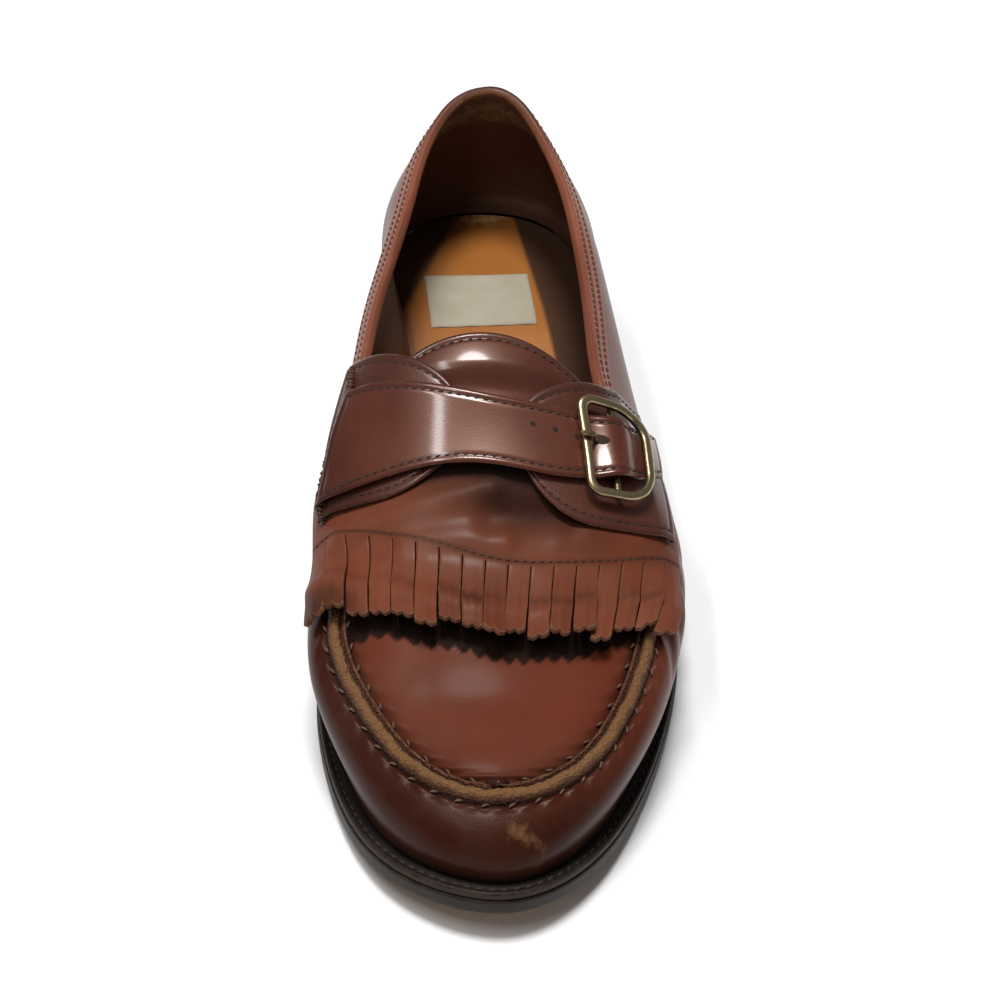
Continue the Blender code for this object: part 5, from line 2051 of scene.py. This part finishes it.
@dataclass
class Strap(Tab):
    """The strap: a tab that humps over the buckle's centre bar, with holes for the prong."""

    buckle: Buckle | None = None
    holes: tuple[tuple[float, float, float], ...] = (
        (0.404, 0.225, 0.75 * MM),
        (0.407, 0.165, 0.75 * MM),
        (0.409, 0.105, 0.7 * MM),
    )

    def extra_lift(self, pairs: Array, girths: Array) -> Array:
        """The hump over the centre bar, and a slight bow between the two edges."""
        hump = self.buckle.hump(self.buckle.across(pairs, girths))
        return self.buckle.rise * hump + super().extra_lift(pairs, girths)

    def build(self) -> None:
        """Makes the strap, its stitches and its punched holes."""
        super().build()
        rim = Mesh("strap_holes")
        spin = np.linspace(0, 2 * np.pi, 20, endpoint=False)
        slot = (self.buckle.pair + 0.0045, self.buckle.girth - 0.052, 1.3 * MM)
        for pair, girth, radius in (*self.holes, slot):
            steps = np.array([1.25, 1.0, 0.6, 0.0])[:, None] * radius
            depth = np.array([-0.02, 0.06, 0.05, 0.04])[:, None] * MM
            longer = 1.7 if radius > 1 * MM else 1.0
            pairs = pair + steps * np.sin(spin) / PAIR_SPAN
            girths = girth + longer * steps * np.cos(spin) / GIRTH_SPAN
            lift = self.face + self.extra_lift(pairs, girths) + depth
            points = LAST.laid(pairs, girths, lift)
            # The holes' inner walls are painted near black as shade.
            rim.grid(points, wrap_columns=True, flip=True, grime=1.0)
        self.wardrobe.dress(rim.make(True), Finish.STRAP)


@dataclass
class SideSeam:
    """The sewn edge where the ears and the strap's fixed end meet the medial quarter."""

    wardrobe: Wardrobe
    places: tuple[tuple[float, float], ...] = (
        (0.513, -0.396), (0.494, -0.386), (0.474, -0.384), (0.448, -0.422), (0.420, -0.468),
        (0.394, -0.512), (0.372, -0.545), (0.360, -0.562),
    )
    lift: float = 5.0 * MM
    radius: float = 1.0 * MM

    def build(self) -> None:
        """Makes the rough rolled edge as a sweep of a wobbly round section, then its sewing."""
        path = open_spline(np.array(self.places), 150)
        share = np.linspace(0, 1, 150)
        lift = self.lift - 2.2 * MM * bell(share / 0.12) - 3.0 * MM * bell((1 - share) / 0.10)
        line, normals = LAST.laid_line(path[:, 0], path[:, 1], lift)
        side = unit(np.cross(normals, np.gradient(line, axis=0)))
        turn = np.arange(16) / 16 * TURN
        radius = self.radius * (1 + 0.16 * np.sin(share * 190) + 0.10 * np.sin(share * 83))
        radius = radius * np.sqrt(np.clip(1 - np.abs(2 * share - 1) ** 24, 0, 1))
        ring = side[:, None] * np.cos(turn)[None, :, None] + normals[:, None] * np.sin(turn)[None, :, None]
        grid = line[:, None] + ring * radius[:, None, None]
        mesh = Mesh("side_seam_edge").grid(
            grid, wrap_columns=True, flip=True, burnish=0.6,
            worn=0.25 + 0.25 * np.sin(share * 190)[:, None], grime=0.35,
        )
        self.wardrobe.dress(mesh.make(True), Finish.EAR, "upper_leather")
        over = line + normals * 0.8 * self.radius
        stitching = Stitching(3.2 * MM, 2.5 * MM, 0.75 * MM, 0.1 * MM, 56)
        self.wardrobe.sew("side_seam_stitches", Finish.DARK_THREAD, stitching, (over, normals))


def build_tabs(wardrobe: Wardrobe, buckle: Buckle) -> None:
    """Makes the two ears and the strap from their tables.

    Args:
        wardrobe: The finishes.
        buckle: The buckle that the strap goes through.
    """
    medial = (
        Edge(0.512, -0.420, 0.363, -0.570),
        Edge(0.508, -0.340, 0.359, -0.440),
        Edge(0.492, -0.235, 0.357, -0.310),
        Edge(0.472, -0.150, 0.369, -0.195),
        Edge(0.448, -0.095, 0.387, -0.110),
        Edge(0.424, -0.070, 0.408, -0.072),
    )
    lateral = (
        Edge(0.412, 0.068, 0.380, 0.070),
        Edge(0.438, 0.110, 0.352, 0.118),
        Edge(0.458, 0.190, 0.333, 0.215),
        Edge(0.474, 0.290, 0.330, 0.325),
        Edge(0.488, 0.420, 0.336, 0.450),
        Edge(0.500, 0.560, 0.345, 0.580),
    )
    strap = (
        Edge(0.474, -0.385, 0.372, -0.540),
        Edge(0.465, -0.270, 0.371, -0.350),
        Edge(0.447, -0.110, 0.373, -0.150),
        Edge(0.435, 0.030, 0.368, 0.030),
        Edge(0.431, 0.160, 0.364, 0.170),
        Edge(0.432, 0.290, 0.3705, 0.300),
        Edge(0.441, 0.410, 0.381, 0.400),
        Edge(0.462, 0.555, 0.398, 0.510),
    )
    Tab(wardrobe, "ear_medial_leaf", "ear_medial", medial, EAR_FACE, 1.6 * MM).build()
    Tab(wardrobe, "ear_lateral_leaf", "ear_lateral", lateral, EAR_FACE, 1.6 * MM).build()
    SideSeam(wardrobe).build()
    Strap(
        wardrobe, "strap_band", "strap", strap, STRAP_FACE, 2 * MM, Finish.STRAP, 2.2 * MM, 230,
        buckle=buckle,
    ).build()


@dataclass
class Insole:
    """The tan insole with its blank label."""

    wardrobe: Wardrobe
    thickness: float = 2.6 * MM
    columns: int = 260
    label_middle: tuple[float, float] = (-3.0 * MM, -20.5 * MM)
    label_size: tuple[float, float] = (35.5 * MM, 28.5 * MM)
    label_turn: float = np.radians(4)
    # Lines beyond which the insole is darkened as painted shade from the walls: x where y is 0, and its
    # slope.
    tan_lateral: tuple[float, float] = (13.7 * MM, -0.13)
    tan_medial: tuple[float, float] = (-17.8 * MM, 0.325)

    def top(self, x: Array, y: Array) -> Array:
        """Height of the insole's face: over the sole, with a slight print of the heel."""
        print_depth = 0.5 * MM * bell(x / 0.02) * bell((y - 0.002) / 0.03)
        return LAST.underside(x, y) + LAST.base + LAST.gap + self.thickness - print_depth

    def build(self) -> None:
        """Makes the insole as rows from the medial to the lateral edge, then the label."""
        u = np.linspace(0.0, 0.5, self.columns)[:, None]
        inset = LAST.loop(u[:, 0])[:, 2] + WALL + 0.45 * MM
        right = LAST.sole_edge(u[:, 0], inset)
        left = LAST.sole_edge(1 - u[:, 0], inset)
        across = np.linspace(-1, 1, 90)
        plan = (left + right)[:, None] / 2 + (right - left)[:, None] / 2 * across[None, :, None]
        side = np.linalg.norm(plan - left[:, None], axis=-1)
        edge = np.minimum(side, np.linalg.norm(plan - right[:, None], axis=-1))
        z = self.top(plan[..., 0], plan[..., 1]) - 0.8 * MM * np.clip(1 - edge / (1.5 * MM), 0, 1) ** 2
        grid = np.concatenate([plan, z[..., None]], axis=-1)
        x, y = plan[..., 0], plan[..., 1]
        # A lighter patch at the heel's back edge: heel wear and a painted highlight.
        shine = 0.80 * bell((x + 1 * MM) / (12 * MM)) * bell((y - 30.5 * MM) / (6 * MM))
        # Painted shade: darker beyond the two side lines and in a band along the side edges, fading out at
        # the heel. The insole also darkens towards its edges.
        lateral, medial = (at + slope * y for at, slope in (self.tan_lateral, self.tan_medial))
        sides = 0.9 * eased((4.2 * MM - edge) / (1.6 * MM)) * (1 - eased((y - 10 * MM) / (14 * MM)))
        dark = 0.95 * eased((x - lateral) / (1.6 * MM))
        dark = np.maximum(np.maximum(dark, 0.9 * eased((medial - x) / (3.2 * MM))), 0.5 * sides)
        mesh = Mesh("insole_sock").grid(
            grid, burnish=0.35 * bell(edge / (9 * MM)), worn=0.6 * shine, grime=dark
        )
        piece = thicken(mesh.make(), self.thickness)
        self.wardrobe.dress(piece, Finish.INSOLE, "insole_leather", ("insole",))
        a = np.linspace(-0.5, 0.5, 60) * self.label_size[0]
        b = np.linspace(-0.5, 0.5, 48)[:, None] * self.label_size[1]
        cosine, sine = np.cos(self.label_turn), np.sin(self.label_turn)
        x = self.label_middle[0] + a * cosine - b * sine
        y = self.label_middle[1] + a * sine + b * cosine
        edge = np.minimum(self.label_size[0] / 2 - np.abs(a), self.label_size[1] / 2 - np.abs(b))
        ripple = 0.06 * MM * np.sin(x * 700) * np.sin(y * 500)
        z = self.top(x, y) + 0.35 * MM + ripple - 0.12 * MM * bell(edge / (0.6 * MM))
        mesh = Mesh("blank_label").grid(np.stack([x, y, z], axis=-1), worn=0.5 * bell(edge / (0.7 * MM)))
        self.wardrobe.dress(thicken(mesh.make(), 0.3 * MM), Finish.LABEL)


@dataclass
class Bottom:
    """Welt, outsole, stacked heel and top lift."""

    wardrobe: Wardrobe
    columns: int = 620
    turned: float = 0.8 * MM
    welt_width: float = 13 * MM
    top_lift: float = 6 * MM
    taper: float = 2 * MM
    hollow: float = 5 * MM
    breast: float = 0.235
    lifts: int = 4
    wheel: float = 0.10 * MM
    wheel_marks: int = 210
    ball: tuple[float, float] = (2 * MM, -158 * MM)

    @staticmethod
    def carried(u: Array, profile: tuple | list) -> Array:
        """Rows round the sole's edge, one for each inset and height of a profile."""
        edges = (LAST.sole_edge(u, np.full(u.shape, inset)) for inset, _ in profile)
        return np.stack([LAST.on_sole(edge, height) for edge, (_, height) in zip(edges, profile)])

    def welt(self) -> None:
        """The welt: a flat profile with a wheeled top edge, carried round the sole."""
        u = np.arange(self.columns) / self.columns
        low, high = LAST.outsole + LAST.gap, LAST.outsole + LAST.gap + LAST.welt
        inner, outer = 0.4 * MM + self.welt_width, 0.4 * MM
        profile = (
            (inner, low), (outer + 0.5 * MM, low), (outer + 0.05 * MM, low + 0.2 * MM),
            (outer, low + 0.6 * MM), (outer, high - 0.8 * MM), (outer + 0.15 * MM, high - 0.25 * MM),
            (outer + 0.6 * MM, high), (outer + 1.4 * MM, high - 0.03 * MM),
            (outer + 1.9 * MM, high - 0.35 * MM), (outer + 2.4 * MM, high - 0.05 * MM),
            (outer + 4.6 * MM, high), (inner, high),
        )
        wheel = self.wheel * (1 + np.sin(TURN * self.wheel_marks * u)) / 2
        rows = [(inset, height - wheel * (height > high - 0.4 * MM)) for inset, height in profile]
        grid = self.carried(u, rows)
        inset = np.array([at for at, _ in profile])[:, None]
        mesh = Mesh("welt_strip").grid(
            grid, wrap_rows=True, wrap_columns=True, burnish=0.3,
            worn=0.35 * bell((inset - outer) / (0.5 * MM)),
            grime=0.8 * bell((inset - outer - 1.9 * MM) / (0.3 * MM)),
        )
        self.wardrobe.dress(mesh.make(), Finish.SOLE, "welt_leather", ("welt",))
        closed = np.linspace(0.0, 1.0, 1400)
        line = self.carried(closed, [(outer + 1.9 * MM, high - 0.25 * MM)])[0]
        stitching = Stitching(3.3 * MM, 2.4 * MM, 0.8 * MM, 0.12 * MM, 8)
        normals = np.broadcast_to(UP, line.shape)
        self.wardrobe.sew("welt_stitches", Finish.DARK_THREAD, stitching, (line, normals))

    def plate(self, u: Array, inset: float, height: float, across: Array) -> Array:
        """Rows from the toe to the heel, each straight across between the two edges.

        Args:
            u: Places along the lateral edge.
            inset: How far in from the edge.
            height: Over the outsole's bottom.
            across: Shares across, -1 to 1.

        Returns:
            Points.
        """
        right = LAST.sole_edge(u, np.full(u.shape, inset))
        left = LAST.sole_edge(1 - u, np.full(u.shape, inset))
        plan = (left + right)[:, None] / 2 + (right - left)[:, None] / 2 * across[None, :, None]
        return LAST.on_sole(plan, height)

    def sole(self) -> None:
        """The outsole: edge band all round, plain top, and a tread with its worn ball."""
        u = np.arange(self.columns) / self.columns
        full = LAST.outsole
        profile = (
            (self.turned, 0.0), (0.35 * MM, 0.12 * MM), (0.08 * MM, 0.45 * MM), (0.0, 1.0 * MM),
            (0.12 * MM, full / 2), (0.0, full - 1.0 * MM), (0.10 * MM, full - 0.4 * MM),
            (0.4 * MM, full - 0.1 * MM), (self.turned, full),
        )
        grid = self.carried(u, profile)
        edge = np.array([0.5, 0.6, 0.35, 0.1, 0.0, 0.1, 0.3, 0.3, 0.1])[:, None]
        toe = eased((-LAST.loop(u)[:, 1] - 0.20) / 0.05)
        mesh = Mesh("sole_edge_band").grid(
            grid, wrap_columns=True, burnish=0.2, worn=edge * (0.5 + 0.4 * toe), grime=0.0
        )
        self.wardrobe.dress(mesh.make(), Finish.SOLE, "sole_leather", ("outsole",))
        half = np.linspace(0, 0.5, 300)
        across = np.linspace(-1, 1, 80)
        tread = Mesh("sole_tread")
        bottom = self.plate(half, self.turned, 0.0, across)
        x, y = bottom[..., 0], bottom[..., 1]
        ball = bell((y - self.ball[1]) / (45 * MM)) * bell((x - self.ball[0]) / (35 * MM))
        rim = 1 - np.abs(across)[None, :]
        line = 0.5 * bell((rim - 0.10) / 0.012)
        tread.grid(bottom, flip=True, burnish=bell(rim / 0.06), worn=0.8 * ball, grime=line)
        top = self.plate(half, self.turned, full, across)
        tread.grid(top, burnish=1.0, worn=0.0, grime=0.0)
        self.wardrobe.dress(tread.make(True), Finish.TREAD, "sole_leather")

    def heel_plan(self, inset: float) -> Array:
        """The heel's outline in plan: the sole's edge behind the breast, and a hollow breast.

        Args:
            inset: How far in from the sole's edge.

        Returns:
            Points x, y.
        """
        u = np.linspace(0, 0.5, 2000)
        behind = u[LAST.station(LAST.loop(u)[:, 1]) < self.breast]
        arc = np.linspace(behind[0], 1 - behind[0], 220)
        back = LAST.sole_edge(arc, np.full(arc.shape, inset))
        across = np.linspace(1, -1, 60)[1:-1, None]
        front = back[-1] + (back[0] - back[-1]) * (1 - across) / 2
        front[:, 1] = front[:, 1] + self.hollow * (1 - across[:, 0] ** 2)
        return np.concatenate([back, front])

    def block(self, name: str, insets: Array, heights: Array, seated: bool, finish: Finish, slot: str,
              node: str, marks: dict[str, Array | float]) -> None:
        """A closed block: its outline at each level, drawn in to the middle at both ends.

        Args:
            name: The piece's name.
            insets: How far each level's outline stands in, from the bottom up.
            heights: Each level's height, in metres, or where seated as a share of the way from
                the top lift (0) to the heel seat (1).
            seated: Whether the block ends under the heel seat.
            finish: Its finish.
            slot: Its material slot.
            node: The solid that it replaces.
            marks: Values for each level, or one for all.
        """
        loops = []
        floor = self.top_lift + LAST.gap
        for inset, height in zip(insets, heights):
            plan = self.heel_plan(inset)
            seat = LAST.underside(plan[:, 0], plan[:, 1]) - LAST.gap
            z = floor + (seat - floor) * height if seated else np.full(len(plan), height)
            loops.append(np.concatenate([plan, z[:, None]], axis=1))
        first, last = loops[0], loops[-1]
        shares = np.linspace(0, 0.97, 14)
        middle_low, middle_high = first.mean(0), last.mean(0)
        below = [middle_low + (first - middle_low) * share for share in shares]
        above = [middle_high + (last - middle_high) * share for share in shares[::-1]]
        grid = np.stack(below + loops + above)
        spread = {
            key: np.pad(np.broadcast_to(values, len(loops)), len(shares), "edge")[:, None]
            for key, values in marks.items()
        }
        mesh = Mesh(name).grid(grid, wrap_columns=True, **spread)
        self.wardrobe.dress(mesh.make(True), finish, slot, (node,))

    def heel(self) -> None:
        """The stacked heel, with a fine groove between its lifts, and the rubber top lift."""
        count = 12 * self.lifts + 1
        height = np.linspace(0, 1, count)
        from_joint = height * self.lifts - np.round(height * self.lifts)
        groove = 0.22 * MM * bell(from_joint / 0.06)
        share = self.top_lift / LAST.heel_height
        inset = self.turned + (self.taper * (1 - share) - self.turned) * (1 - height) + groove
        self.block(
            "heel_block", inset, height, True, Finish.SOLE, "heel_leather", "heel_stack",
            {"burnish": 0.2, "worn": 0.2, "grime": 0.9 * bell(from_joint / 0.05)},
        )
        lift = self.top_lift
        inset = self.taper - (self.taper * share) * np.array([0, 0, 0.1, 0.5, 0.9, 1, 1])
        inset = inset + np.array([0.5, 0.12, 0, 0, 0, 0.1, 0.4]) * MM
        height = np.array([0, 0.12 * MM, 0.5 * MM, lift / 2, lift - 0.4 * MM, lift - 0.1 * MM, lift])
        worn = np.array([0.7, 0.6, 0.3, 0.1, 0.1, 0.1, 0.0])
        self.block(
            "lift_rubber_piece", inset, height, False, Finish.RUBBER, "lift_rubber", "top_lift",
            {"burnish": 0.0, "worn": worn, "grime": 0.0},
        )

    def build(self) -> None:
        """Makes every piece of the bottom."""
        self.welt()
        self.sole()
        self.heel()


@dataclass(frozen=True)
class Studio:
    """Pale floor, one soft key from overhead, even surroundings and the camera."""

    camera_at: tuple[float, float, float] = (-0.0393, -0.6345, 0.4577)
    camera_yaw: float = 4.36
    camera_pitch: float = 39.56
    camera_roll: float = 3.24
    lens: float = 79.5
    floor: Colour = (0.93, 0.93, 0.93)
    key: float = 2.7
    key_size: float = 16.0
    key_tilt: tuple[float, float] = (-0.05, 0.08)
    surround: float = 0.16
    softbox_at: tuple[float, float, float] = (-0.40, -0.38, 1.20)
    softbox_size: tuple[float, float] = (0.08, 0.85)
    softbox_power: float = 4.6
    target: tuple[float, float, float] = (0, -0.14, 0.08)

    def softbox(self) -> None:
        """A rectangular lamp that faces the target, for the long light on strap and kiltie."""
        data = bpy.data.lights.new("softbox", "AREA")
        data.shape = "RECTANGLE"
        data.size, data.size_y = self.softbox_size
        data.energy = self.softbox_power
        lamp = bpy.data.objects.new("softbox", data)
        lamp.location = self.softbox_at
        away = np.array(self.softbox_at) - np.array(self.target)
        lamp.rotation_euler = Euler((-np.arctan2(away[1], away[2]), np.arctan2(away[0], away[2]), 0))
        bpy.context.scene.collection.objects.link(lamp)

    def build(self) -> None:
        """Makes floor, lamps, surroundings and camera."""
        floor = Mesh("floor").grid(
            np.stack(np.meshgrid([-30.0, 30.0], [-30.0, 30.0]) + [np.full((2, 2), -0.0004)], axis=-1)
        ).make()
        material, tree, shader, place = fresh_material("pale_floor")
        tone = tree.mix(tree.noise(place, 3.0), self.floor, tuple(0.985 * c for c in self.floor))
        tree.put(shader.inputs["Base Color"], tone)
        shader.inputs["Roughness"].default_value = 0.8
        floor.data.materials.append(material)
        sun = bpy.data.lights.new("key", "SUN")
        sun.energy = self.key
        sun.angle = np.radians(self.key_size)
        key = bpy.data.objects.new("key", sun)
        key.rotation_euler = Euler((-np.arctan(self.key_tilt[1]), np.arctan(self.key_tilt[0]), 0))
        bpy.context.scene.collection.objects.link(key)
        self.softbox()
        scene = bpy.context.scene
        world = bpy.data.worlds.new("studio")
        world.use_nodes = True
        around = Tree(world.node_tree)
        seen = around.add("ShaderNodeLightPath").outputs["Is Camera Ray"]
        backdrop = world.node_tree.nodes["Background"]
        around.put(backdrop.inputs["Color"], (1.0, 1.0, 1.0))
        around.put(backdrop.inputs["Strength"], around.span(seen, 0.0, 1.0, self.surround, 1.0))
        scene.world = world
        scene.view_settings.view_transform = "Standard"
        data = bpy.data.cameras.new("camera")
        data.lens = self.lens
        data.sensor_width = 36
        camera = bpy.data.objects.new("camera", data)
        camera.location = self.camera_at
        turn = Euler((np.radians(90 - self.camera_pitch), 0, -np.radians(self.camera_yaw))).to_matrix()
        roll = Euler((0, 0, np.radians(self.camera_roll))).to_matrix()
        camera.rotation_euler = (turn @ roll).to_euler()
        scene.collection.objects.link(camera)
        scene.camera = camera


def main() -> None:
    """Builds the shoe's sub-assemblies in order, then the studio."""
    logging.basicConfig(level=logging.INFO, format="%(name)s %(message)s")
    wardrobe = Wardrobe()
    Bottom(wardrobe).build()
    Insole(wardrobe).build()
    Upper(wardrobe).build()
    Tongue(wardrobe).build()
    Kiltie(wardrobe).build()
    buckle = Buckle(wardrobe)
    build_tabs(wardrobe, buckle)
    buckle.build()
    Studio().build()


if __name__ == "__main__":
    main()
